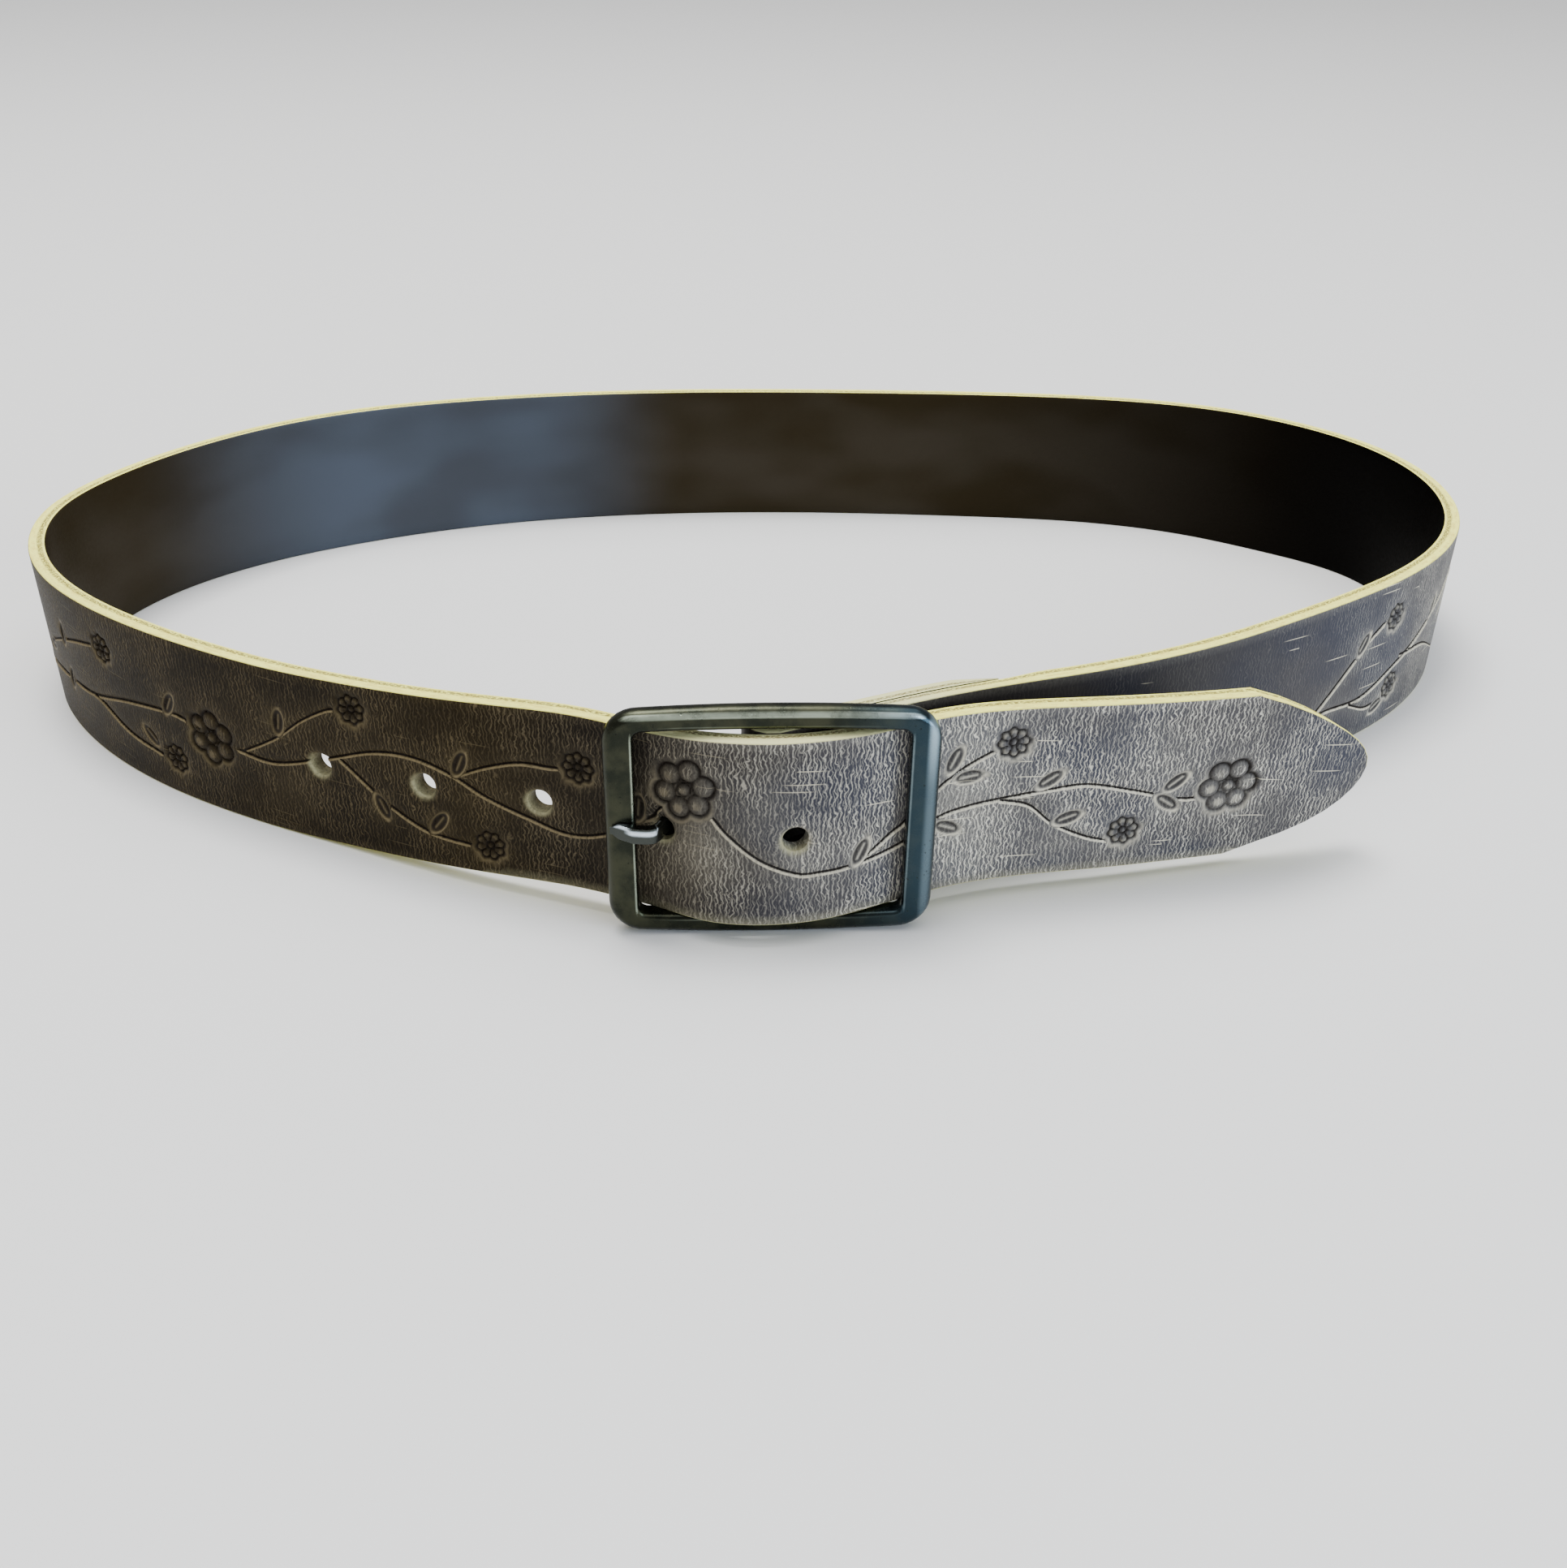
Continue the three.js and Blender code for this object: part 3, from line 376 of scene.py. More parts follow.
class StrapRoute:
    """The way that the strap takes, and the places on it."""

    def __init__(self):
        along = np.array([math.cos(LEG_ANGLE), math.sin(LEG_ANGLE)])
        inwards = np.array([-along[1], along[0]])
        start = np.array([0, BAR_SETBACK]) - TURN_RADIUS * inwards
        stretches = [self.inner_leg(start, along, inwards), self.bar_turn(), self.outer_leg(start, along)]
        self.leg_start_index = len(stretches[0]) + len(stretches[1]) - 1
        stretches.append(self.loop_to_tip(start + LEG_STRAIGHT * along, along))
        samples = np.vstack(stretches)
        self.x, self.y, self.lean, self.thickness = samples.T
        steps = np.hypot(np.diff(self.x), np.diff(self.y))
        self.distance = np.concatenate([[0], np.cumsum(steps)])
        self.length = self.distance[-1]
        self.leg_start = self.distance[self.leg_start_index]
        ahead = np.minimum(np.arange(len(samples)) + 1, len(samples) - 1)
        behind = np.maximum(np.arange(len(samples)) - 1, 0)
        heading = np.arctan2(self.y[ahead] - self.y[behind], self.x[ahead] - self.x[behind])
        self.heading = np.unwrap(heading)
        in_buckle = (self.distance > self.length / 2) & (self.y < PASS_BACK)
        self.over_bar = self.distance[np.argmin(np.abs(self.x) + FAR * ~in_buckle)]

    @staticmethod
    def inner_leg(start, along, inwards):
        """The short leg of the fold, from its bevelled end to the turn."""
        join = 0.34 * FOLD_LENGTH
        reach = np.arange(FOLD_LENGTH, join, -SAMPLE_STEP)[:, None]
        grown = np.minimum((FOLD_LENGTH - reach) / FOLD_END_BEVEL, 1)
        thickness = FOLD_END_THICKNESS + grown * (FOLD_THICKNESS - FOLD_END_THICKNESS)
        leg = start + reach * along + (FOLD_THICKNESS + FOLD_GAP + thickness) * inwards
        first = start + join * along + (2 * FOLD_THICKNESS + FOLD_GAP) * inwards
        last = np.array([0, BAR_SETBACK + TURN_RADIUS])
        pull = 0.4 * np.linalg.norm(last - first)
        t = np.linspace(0, 1, 40)[:, None]
        second, third = first - pull * along, last + np.array([pull, 0])
        s = 1 - t
        bend = s**3 * first + 3 * s**2 * t * second + 3 * s * t**2 * third + t**3 * last
        ends = np.full((len(t), 1), FOLD_THICKNESS)
        return np.vstack([np.hstack([leg, 0 * reach, thickness]), np.hstack([bend, 0 * t, ends])])

    @staticmethod
    def bar_turn():
        """The turn round the centre bar."""
        sweep = math.pi + LEG_ANGLE
        angle = math.pi / 2 + sweep * np.linspace(0, 1, round(sweep * TURN_RADIUS / SAMPLE_STEP))[1:]
        x = TURN_RADIUS * np.cos(angle)
        y = BAR_SETBACK + TURN_RADIUS * np.sin(angle)
        return np.stack([x, y, 0 * x, 0 * x + FOLD_THICKNESS], 1)

    @staticmethod
    def outer_leg(start, along):
        """The straight leg, which grows to the strap's full thickness."""
        reach = np.arange(1, round(LEG_STRAIGHT / SAMPLE_STEP) + 1)[:, None] * SAMPLE_STEP
        grown = smooth((reach - FOLD_LENGTH) / SKIVE_RUN)
        thickness = FOLD_THICKNESS + grown * (STRAP_THICKNESS - FOLD_THICKNESS)
        return np.hstack([start + reach * along, 0 * reach, thickness])

    @staticmethod
    def loop_to_tip(start, along):
        """Round the waist, through the buckle and on to the tip."""
        rows = [(*start, 0)]
        for across, back, lean in LOOP_ROWS:
            rows.append((across * (LOOP_RIGHT if across > 0 else LOOP_LEFT), back * LOOP_DEPTH, lean))
        for across, forward, lean in PASS_ROWS:
            rows.append((across * BUCKLE_HALF, PASS_BACK + forward * (PASS_FRONT - PASS_BACK), lean))
        for past, back, lean in TIP_ROWS:
            rows.append((BUCKLE_HALF + past * TIP_REACH, PASS_BACK + back * TIP_REACH, lean))
        samples = spline_through(rows, (*along, 0))[1:]
        return np.hstack([samples, np.full((len(samples), 1), STRAP_THICKNESS)])

    def lift(self, distance):
        """Height of the lower edge over the ground."""
        folded = distance < FOLD_LENGTH
        distance = np.where(folded, self.leg_start + FOLD_LENGTH - distance, distance)
        leaving = 1 - smooth((distance - self.leg_start - LIFT_HOLD) / LIFT_RUN)
        coming = smooth((distance - self.over_bar + LIFT_HOLD + LIFT_RUN) / LIFT_RUN)
        taper = self.length - TIP_TAPER
        settle_from = self.over_bar + BUCKLE_HALF
        settled = smooth((distance - settle_from) / (taper - settle_from))
        dropped = smooth((distance - taper) / TIP_TAPER)
        held = STRAP_LIFT * np.maximum(leaving, coming)
        return held - (STRAP_LIFT - TIP_LIFT) * settled - TIP_DROP * dropped

    def place(self, distance, height, depth):
        """Points of the strap: distance along it, height over its lower edge, depth from the grain face."""
        x = np.interp(distance, self.distance, self.x)
        y = np.interp(distance, self.distance, self.y)
        lean = np.radians(np.interp(distance, self.distance, self.lean))
        heading = np.interp(distance, self.distance, self.heading)
        inwards = depth * self.thickness_share(distance) + (STRAP_WIDTH - height) * np.tan(lean)
        points = np.stack([x, y, self.lift(distance) + height], -1)
        points[..., 0] -= np.sin(heading) * inwards
        points[..., 1] += np.cos(heading) * inwards
        return points + np.array(BUCKLE_PLACE)

    def thickness_share(self, distance):
        """Thickness at a distance as a share of the strap's."""
        return np.interp(distance, self.distance, self.thickness) / STRAP_THICKNESS


ROUTE = StrapRoute()


def choose(obj):
    """Makes an object the only selected and active one."""
    if bpy.context.object and bpy.context.object.mode != "OBJECT":
        bpy.ops.object.mode_set(mode="OBJECT")
    bpy.ops.object.select_all(action="DESELECT")
    obj.select_set(True)
    bpy.context.view_layer.objects.active = obj


def named(name):
    """Names the object that an operator has just added."""
    obj = bpy.context.object
    obj.name = obj.data.name = name
    return obj


def read(items, what, kind=int, width=1):
    """A field of vertices, edges, faces or loops as an array."""
    values = np.empty(len(items) * width, kind)
    items.foreach_get(what, values)
    return values.reshape(-1, width) if width > 1 else values


def read_points(mesh):
    """The vertices of a mesh as an array."""
    return read(mesh.vertices, "co", float, 3)


def write_points(mesh, points):
    """Moves the vertices of a mesh."""
    mesh.vertices.foreach_set("co", points.ravel())
    mesh.update()


def read_faces(mesh, what):
    """A vector of each face of a mesh: its center or its normal."""
    return read(mesh.polygons, what, float, 3)


def pick(obj, kind, chosen):
    """Goes to edit mode with only the chosen faces, edges or vertices selected."""
    mesh = obj.data
    choose(obj)
    for part in (mesh.vertices, mesh.edges, mesh.polygons):
        part.foreach_set("select", np.zeros(len(part), bool))
    {"VERT": mesh.vertices, "EDGE": mesh.edges, "FACE": mesh.polygons}[kind].foreach_set("select", chosen)
    bpy.context.tool_settings.mesh_select_mode = [kind == k for k in ("VERT", "EDGE", "FACE")]
    bpy.ops.object.mode_set(mode="EDIT")


def edit_all(obj):
    """Goes to edit mode with everything selected."""
    choose(obj)
    bpy.ops.object.mode_set(mode="EDIT")
    bpy.ops.mesh.select_all(action="SELECT")


def round_edges(width, segments):
    """Rounds the selected edges."""
    bpy.ops.mesh.bevel(offset=width, segments=segments, profile=0.5, affect="EDGES", clamp_overlap=False)


def leave_edit():
    """Back to object mode."""
    bpy.ops.object.mode_set(mode="OBJECT")


def settle(obj):
    """Puts an object's place, turn and size into its mesh."""
    choose(obj)
    bpy.ops.object.transform_apply(location=True, rotation=True, scale=True)


def apply_modifier(obj, kind, **settings):
    """Adds a modifier and applies it at once."""
    choose(obj)
    modifier = obj.modifiers.new(kind.title(), kind)
    for key, value in settings.items():
        setattr(modifier, key, value)
    bpy.ops.object.modifier_apply(modifier=modifier.name)


def unite(obj, other, operation="UNION"):
    """Joins a solid to an object, or cuts it out, and removes the solid."""
    apply_modifier(obj, "BOOLEAN", object=other, operation=operation, solver="EXACT")
    bpy.data.objects.remove(other)


def shade(obj, degrees=35):
    """Smooth shading up to an angle."""
    choose(obj)
    bpy.ops.object.shade_smooth_by_angle(angle=math.radians(degrees))


def new_material(name):
    """A material with only a Principled shader."""
    material = bpy.data.materials.new(name)
    material.use_nodes = True
    tree = material.node_tree
    return material, tree, tree.nodes["Principled BSDF"]


def add(tree, kind, inputs=(), **settings):
    """Adds a node, sets its fields and fills its inputs with values or links."""
    node = tree.nodes.new("ShaderNode" + kind)
    for key, value in settings.items():
        setattr(node, key, value)
    for key, value in dict(inputs).items():
        fill(tree, node.inputs[key], value)
    return node


def fill(tree, socket, value):
    """Links an output to a socket, or sets its value."""
    if isinstance(value, bpy.types.NodeSocket):
        tree.links.new(value, socket)
    elif socket.type == "RGBA" and len(value) == 3:
        socket.default_value = (*value, 1)
    else:
        socket.default_value = value


def maths(tree, operation, first, second=0.0):
    """The result of a Math node."""
    return add(tree, "Math", {0: first, 1: second}, operation=operation).outputs[0]


def times(tree, first, second):
    """The product of two values."""
    return maths(tree, "MULTIPLY", first, second)


def most(tree, first, second):
    """The greater of two values."""
    return maths(tree, "MAXIMUM", first, second)


def less(tree, first, second):
    """One value less another."""
    return maths(tree, "SUBTRACT", first, second)


def size_of(tree, value):
    """A value without its sign."""
    return maths(tree, "ABSOLUTE", value)


def part_of(tree, vector, index):
    """One of the three numbers of a vector."""
    return add(tree, "SeparateXYZ", {0: vector}).outputs[index]


def ramp(tree, value, low, high, to_low=0.0, to_high=1.0):
    """A value brought from one span to another, held at its ends."""
    inputs = {"Value": value, "From Min": low, "From Max": high, "To Min": to_low, "To Max": to_high}
    return add(tree, "MapRange", inputs, interpolation_type="SMOOTHSTEP").outputs[0]


def blend(tree, share, first, second):
    """Two colours mixed by a share."""
    node = add(tree, "Mix", data_type="RGBA")
    fill(tree, node.inputs[0], share)
    fill(tree, node.inputs[6], first)
    fill(tree, node.inputs[7], second)
    return node.outputs[2]


def noise(tree, place, scale, detail=2.0, roughness=0.5, lacunarity=2.0):
    """A noise value from 0 to 1 at a place."""
    inputs = {"Vector": place, "Scale": scale, "Detail": detail, "Roughness": roughness}
    inputs["Lacunarity"] = lacunarity
    return add(tree, "TexNoise", inputs).outputs["Fac"]


def of_vectors(tree, operation, first, second):
    """The result of a Vector Math node."""
    return add(tree, "VectorMath", {0: first, 1: second}, operation=operation).outputs[0]


def stretched(tree, place, along, up, depth=1.0):
    """A place divided by a length in each direction."""
    return of_vectors(tree, "MULTIPLY", place, (1 / along, 1 / up, 1 / depth))


def new_group(name, inputs, outputs):
    """A node group with its sockets; inputs and outputs are (name, type, default)."""
    group = bpy.data.node_groups.new(name, "ShaderNodeTree")
    for label, kind, default in inputs:
        socket = group.interface.new_socket(label, in_out="INPUT", socket_type="NodeSocket" + kind)
        if default is not None:
            socket.default_value = default
    for label, kind, _ in outputs:
        group.interface.new_socket(label, in_out="OUTPUT", socket_type="NodeSocket" + kind)
    entry = group.nodes.new("NodeGroupInput")
    leaving = group.nodes.new("NodeGroupOutput")
    return group, entry.outputs, leaving.inputs


def use_group(tree, group, inputs):
    """Places a node group and fills its inputs."""
    node = tree.nodes.new("ShaderNodeGroup")
    node.node_tree = group
    for key, value in inputs.items():
        fill(tree, node.inputs[key], value)
    return node.outputs


def crease_group():
    """Fine creases across the strap: broken, wavy lines a spacing apart."""
    lengths = (("Spacing", "Float", 1.0), ("Wave", "Float", 2.0), ("Width", "Float", 0.2))
    group, entry, leaving = new_group(
        "Leather creases", (("Place", "Vector", None), *lengths), (("Lines", "Float", None),)
    )
    wave_place = of_vectors(group, "DIVIDE", entry["Place"], entry["Wave"])
    waves = noise(group, stretched(group, wave_place, 1.2, 1.0), 1.0, 2.2, 0.5)
    along = maths(group, "DIVIDE", part_of(group, entry["Place"], 0), entry["Spacing"])
    phase = maths(group, "FRACT", maths(group, "ADD", along, times(group, waves, 2.7)))
    away = size_of(group, less(group, phase, 0.5))
    lines = ramp(group, away, 0.0, entry["Width"], 1.0, 0.0)
    breaks = noise(group, stretched(group, wave_place, 0.7, 1.3), 1.0, 2.0)
    breaks = ramp(group, breaks, 0.32, 0.52, 0.15, 1.0)
    fill(group, leaving["Lines"], times(group, lines, breaks))
    return group


def scratch_group():
    """Thin scratches that run along the strap, a few at a time."""
    inputs = (("Place", "Vector", None), ("Amount", "Float", 0.5))
    group, entry, leaving = new_group("Leather scratches", inputs, (("Lines", "Float", None),))
    turned = add(group, "Mapping", {"Vector": entry["Place"], "Rotation": (0, 0, 0.06)}).outputs[0]
    spot = stretched(group, turned, 16.0, 2.2)
    cells = add(group, "TexVoronoi", {"Vector": spot, "Scale": 1.0, "Randomness": 1.0})
    from_cell = of_vectors(group, "SUBTRACT", spot, cells.outputs["Position"])
    offset = add(group, "SeparateXYZ", {0: from_cell})
    near = ramp(group, size_of(group, offset.outputs[1]), 0.02, 0.065, 1.0, 0.0)
    ends = ramp(group, size_of(group, offset.outputs[0]), 0.08, 0.3, 1.0, 0.0)
    pickiness = less(group, 1.0, entry["Amount"])
    draw = add(group, "SeparateColor", {0: cells.outputs["Color"]}).outputs[0]
    kept = maths(group, "GREATER_THAN", draw, pickiness)
    fill(group, leaving["Lines"], times(group, times(group, near, ends), kept))
    return group


def pitting_group():
    """Small pits and cloudiness of a cast or forged metal."""
    group, entry, leaving = new_group(
        "Metal pitting",
        (("Place", "Vector", None), ("Pit Size", "Float", 0.8)),
        (("Pits", "Float", None), ("Clouds", "Float", None)),
    )
    spot = of_vectors(group, "DIVIDE", entry["Place"], entry["Pit Size"])
    cells = add(group, "TexVoronoi", {"Vector": spot, "Scale": 1.0})
    pits = ramp(group, cells.outputs["Distance"], 0.06, 0.22, 1.0, 0.0)
    rare = ramp(group, noise(group, entry["Place"], 0.35, 2.0), 0.48, 0.62)
    fill(group, leaving["Pits"], times(group, pits, rare))
    fill(group, leaving["Clouds"], noise(group, entry["Place"], 0.16, 4.0, 0.6))
    return group


def strap_place(tree):
    """Where a point lies on the flat strap, in millimetres."""
    return add(tree, "Attribute", attribute_name="strap_place").outputs["Vector"]


def metal_place(tree):
    """Where a point of the buckle or of the prong lies, in millimetres."""
    return stretched(tree, add(tree, "TexCoord").outputs["Object"], MM, MM, MM)


def surface(tree, shader, colour, rough, height, strength, depth):
    """Gives a shader its colour, its roughness and a bump so many millimetres deep."""
    bump = add(tree, "Bump", {"Height": height, "Strength": strength, "Distance": depth * MM})
    for name, value in (("Base Color", colour), ("Roughness", rough), ("Normal", bump.outputs[0])):
        fill(tree, shader.inputs[name], value)


def share(tree, name):
    """A share stored on the mesh."""
    return add(tree, "Attribute", attribute_name=name).outputs["Fac"]


def line_at(tree, value, middle, half_width, softness):
    """A soft line where a value is near a middle value."""
    away = size_of(tree, less(tree, value, middle))
    return ramp(tree, away, half_width, half_width + softness, 1.0, 0.0)


def grain_leather(look, creases, scratches):
    """The outer face: oiled leather with light creases, dark cuts with light rims, and rubbed patches; it
    greys towards the right with a painted cool sheen, the cuts carry painted shade and the rims are partly
    painted highlight.
    """
    material, tree, shader = new_material("grain_leather")
    place = strap_place(tree)
    rubbed, ash, bare_and_lit = share(tree, "rubbed"), share(tree, "ash"), share(tree, "bare_and_lit")
    away = share(tree, "stem_away")
    near_stem = ramp(tree, share(tree, "stem_distance"), 0.9, 1.3, 1.0, 0.0)
    coarse = use_group(tree, creases, {"Place": place, **COARSE_CREASES})
    fine = use_group(tree, creases, {"Place": place, **FINE_CREASES})
    patches = ramp(tree, noise(tree, stretched(tree, place, 11.0, 14.0), 1.0, 2.0), 0.38, 0.58, 0.42, 1.0)
    marks = use_group(tree, scratches, {"Place": place, "Amount": SCRATCH_AMOUNT})
    clouds = ramp(tree, noise(tree, stretched(tree, place, 30.0, 20.0), 1.0, 1.5), 0.36, 0.64)
    speckle = noise(tree, place, 1.4, 3.0, 0.7)
    ground = blend(tree, clouds, look.grain_dark, look.grain_brown)
    # Towards the right the ground turns violet-grey and the rubbed tan, creases, rims and scratches lighter:
    # partly the leather's own greyer tone, partly painted cool sheen, with painted shade behind the free end
    violet = blend(tree, clouds, look.grain_violet_sheen, look.grain_ash)
    ground = blend(tree, ash, ground, violet)
    tan = blend(tree, ash, look.grain_tan, look.grain_cream_sheen)
    worn = times(tree, rubbed, ramp(tree, speckle, 0.3, 0.62, 0.45, 1.0))
    ground = blend(tree, times(tree, worn, ramp(tree, ash, 0.0, 1.0, 0.5, 0.2)), ground, tan)
    lines = most(tree, coarse["Lines"], times(tree, fine["Lines"], 0.5))
    lines = times(tree, lines, patches)
    strength = maths(tree, "ADD", times(tree, worn, 0.7), look.crease_strength)
    lines = times(tree, lines, strength)
    along = part_of(tree, place, 0)
    lines = times(tree, lines, ramp(tree, along, *SMOOTH_START, 0.12, 1.0))
    lines = times(tree, lines, ramp(tree, share(tree, "stamped"), 0.0, 1.0, 1.0, 0.2))
    colour = blend(tree, lines, ground, blend(tree, ash, look.grain_crease, look.grain_cream_sheen))
    # Light rims below the stems, partly burnished and partly painted highlight, joined by the stamps'
    # painted highlight and the real scratches
    rim = times(tree, line_at(tree, away, -0.4, 0.09, 0.18), ramp(tree, speckle, 0.34, 0.55, 0.55, 1.0))
    rim = times(tree, rim, near_stem)
    scratched = times(tree, marks["Lines"], ramp(tree, ash, 0.1, 0.9, 0.25, 1.0))
    rim = most(tree, most(tree, rim, share(tree, "stamp_highlight")), scratched)
    rim_colour = blend(tree, ash, look.grain_rim, look.grain_light_sheen)
    colour = blend(tree, times(tree, rim, 0.85), colour, rim_colour)
    # Painted shade: a dark line along the upper side of each stem cut, and the stamps' painted shadow
    cut = times(tree, line_at(tree, away, 0.02, 0.12, 0.16), near_stem)
    cut = most(tree, cut, share(tree, "stamp_shadow"))
    colour = blend(tree, times(tree, cut, 0.92), colour, look.grain_cut_shade)
    # Pale, worn-off finish along the lower edge and round the holes, where it is painted light on their lit
    # lower left
    bare_and_lit = times(tree, bare_and_lit, ramp(tree, speckle, 0.3, 0.6, 0.55, 1.0))
    colour = blend(tree, bare_and_lit, colour, look.grain_bare)
    rough = maths(tree, "ADD", ramp(tree, speckle, 0.3, 0.7, 0.4, 0.52), times(tree, lines, 0.2))
    height = less(tree, times(tree, speckle, 0.35), times(tree, lines, 0.9))
    height = less(tree, height, times(tree, marks["Lines"], 0.5))
    surface(tree, shader, colour, rough, height, look.grain_relief, 0.12)
    shader.inputs["Specular IOR Level"].default_value = GRAIN_GLOSS
    return material


def flesh_leather(look):
    """The inner face: smooth and dark brown, with a painted bluish sheen part of the way along and painted
    shade that turns it nearly black at the right.
    """
    material, tree, shader = new_material("flesh_leather")
    place = strap_place(tree)
    along = part_of(tree, place, 0)
    clouds = noise(tree, stretched(tree, place, 60.0, 30.0), 1.0, 2.0)
    # Painted shade turns the inner face nearly black over its first stretch, at the right, and a painted
    # bluish sheen lies further along
    shaded_side = ramp(tree, along, *SHADED_SIDE, 1.0, 0.0)
    sheen = times(tree, ramp(tree, along, *SHEEN_START), ramp(tree, along, *SHEEN_END, 1.0, 0.0))
    sheen = times(tree, sheen, ramp(tree, clouds, 0.3, 0.6, 0.6, 1.0))
    brown = blend(tree, ramp(tree, clouds, 0.38, 0.62), look.flesh_dark, look.flesh_light)
    colour = blend(tree, shaded_side, blend(tree, sheen, brown, look.flesh_sheen), look.flesh_shaded)
    speckle = noise(tree, place, 1.1, 3.0, 0.65)
    rough = ramp(tree, speckle, 0.3, 0.7, 0.42, 0.55)
    surface(tree, shader, colour, rough, speckle, 0.35, 0.1)
    shader.inputs["Specular IOR Level"].default_value = FLESH_GLOSS
    return material


def raw_edge(look):
    """The cut edge: pale, fibrous leather with a darker mottled line near the inner face, and duller at the
    buckle and the fold as painted shade.
    """
    material, tree, shader = new_material("raw_edge")
    place = strap_place(tree)
    depth = part_of(tree, place, 2)
    fibres = noise(tree, stretched(tree, place, 0.7, 0.5, 0.35), 1.0, 5.0, 0.7)
    clumps = noise(tree, stretched(tree, place, 2.6, 2.6, 0.8), 1.0, 4.0, 0.65)
    pale = blend(tree, ramp(tree, clumps, 0.4, 0.72), look.edge_pale, look.edge_tan)
    along = part_of(tree, place, 0)
    # Painted shade: a duller, less yellow edge beside the bar and along the fold
    in_shade = line_at(tree, along, ROUTE.over_bar / MM, *SHADED_EDGE)
    in_shade = most(tree, in_shade, ramp(tree, along, *SHADED_FOLD, 1.0, 0.0))
    pale = blend(tree, in_shade, pale, look.edge_shaded)
    mottled = times(tree, line_at(tree, depth, 2.5, 0.25, 0.6), ramp(tree, fibres, 0.4, 0.54))
    colour = blend(tree, times(tree, mottled, 0.85), pale, look.edge_dark)
    skin = most(tree, ramp(tree, depth, 0.02, 0.25, 1.0, 0.0), ramp(tree, depth, 3.5, 3.75))
    colour = blend(tree, times(tree, skin, 0.45), colour, look.edge_dark)
    surface(tree, shader, colour, 0.85, fibres, 0.9, 0.35)
    shader.inputs["Specular IOR Level"].default_value = EDGE_GLOSS
    return material


def cast_metal(look, pitting):
    """The buckle: cast metal, antiqued nearly black, greenish and brownish, and rubbed bright in places with
    painted highlights along its crest and window, and bluish towards the right by painted sheen and a
    painted highlight band.
    """
    material, tree, shader = new_material("cast_metal")
    place = metal_place(tree)
    marks = use_group(tree, pitting, {"Place": place, "Pit Size": 1.1})
    colour = blend(tree, ramp(tree, marks["Clouds"], 0.35, 0.68), look.metal_dark, look.metal_olive)
    spot = add(tree, "SeparateXYZ", {0: place}).outputs
    along = spot[0]
    # Painted bluish sheen towards the right, and a painted highlight band along the right end bar
    blue_sheen = ramp(tree, along, *BLUE_SHEEN_SIDE)
    colour = blend(tree, times(tree, blue_sheen, 0.8), colour, look.metal_blue_sheen)
    blue_glint = line_at(tree, along, BLUE_GLINT_BAND, 0.2, 1.2)
    blue_glint = times(tree, blue_glint, ramp(tree, spot[2], *BLUE_GLINT_RISE, 0.13, 0.55))
    colour = blend(tree, blue_glint, colour, look.metal_sky_rubbed_and_glint)
    # Rubbed metal and painted highlight along the crest and the window's edge, the window line stronger at
    # the left
    crest = ramp(tree, share(tree, "to_crest"), 0.1, 0.75, 1.0, 0.0)
    window_line = ramp(tree, share(tree, "to_window"), 0.05, 0.35, 1.0, 0.0)
    window_line = times(tree, window_line, ramp(tree, along, -24.0, 6.0, 0.5, 0.22))
    rubbed = most(tree, crest, window_line)
    rubbed = times(tree, rubbed, ramp(tree, marks["Clouds"], 0.3, 0.6, 0.6, 1.0))
    bright = blend(tree, blue_sheen, look.metal_rubbed_and_glint, look.metal_sky_rubbed_and_glint)
    colour = blend(tree, rubbed, colour, bright)
    colour = blend(tree, times(tree, marks["Pits"], 0.6), colour, look.metal_dark)
    rough = ramp(tree, marks["Clouds"], 0.3, 0.7, 0.22, 0.34)
    rough = maths(tree, "ADD", rough, times(tree, marks["Pits"], 0.25))
    fine = noise(tree, place, 1.8, 3.0)
    height = less(tree, times(tree, fine, 0.5), marks["Pits"])
    surface(tree, shader, colour, rough, height, 0.35, 0.12)
    shader.inputs["Metallic"].default_value = 0.95
    return material


def steel_worn_and_glint(look, pitting):
    """The prong: dark steel, rubbed bright in brushed streaks, with a painted highlight band along the shank
    and painted highlights on the upper edges of its slanted end.
    """
    material, tree, shader = new_material("steel_worn_and_glint")
    place = metal_place(tree)
    marks = use_group(tree, pitting, {"Place": place, "Pit Size": 0.7})
    brushed = noise(tree, stretched(tree, place, 4.0, 0.25, 0.25), 1.0, 3.0, 0.6)
    height, on_slant = share(tree, "height"), share(tree, "on_slant")
    # Painted highlight: a band a little above the middle of the shank and the upper edges of its slanted
    # end, broken by brushed streaks
    band = line_at(tree, height, 0.45, 0.12, 0.4)
    outline = ramp(tree, height, 0.5, 0.85)
    worn = add(tree, "Mix", {0: on_slant, 2: band, 3: outline}).outputs[0]
    worn = times(tree, worn, ramp(tree, brushed, 0.3, 0.6, 0.6, 1.0))
    colour = blend(tree, worn, look.steel_dark, look.steel_rubbed_and_glint)
    rough = ramp(tree, marks["Clouds"], 0.3, 0.7, 0.24, 0.36)
    height = less(tree, times(tree, brushed, 0.4), marks["Pits"])
    surface(tree, shader, colour, rough, height, 0.3, 0.08)
    shader.inputs["Metallic"].default_value = 1.0
    return material


def floor_paint(look):
    """The plain pale floor."""
    material, _, shader = new_material("pale_floor")
    shader.inputs["Base Color"].default_value = (*look.floor_colour, 1)
    shader.inputs["Roughness"].default_value = 0.6
    shader.inputs["Specular IOR Level"].default_value = 0.3
    return material


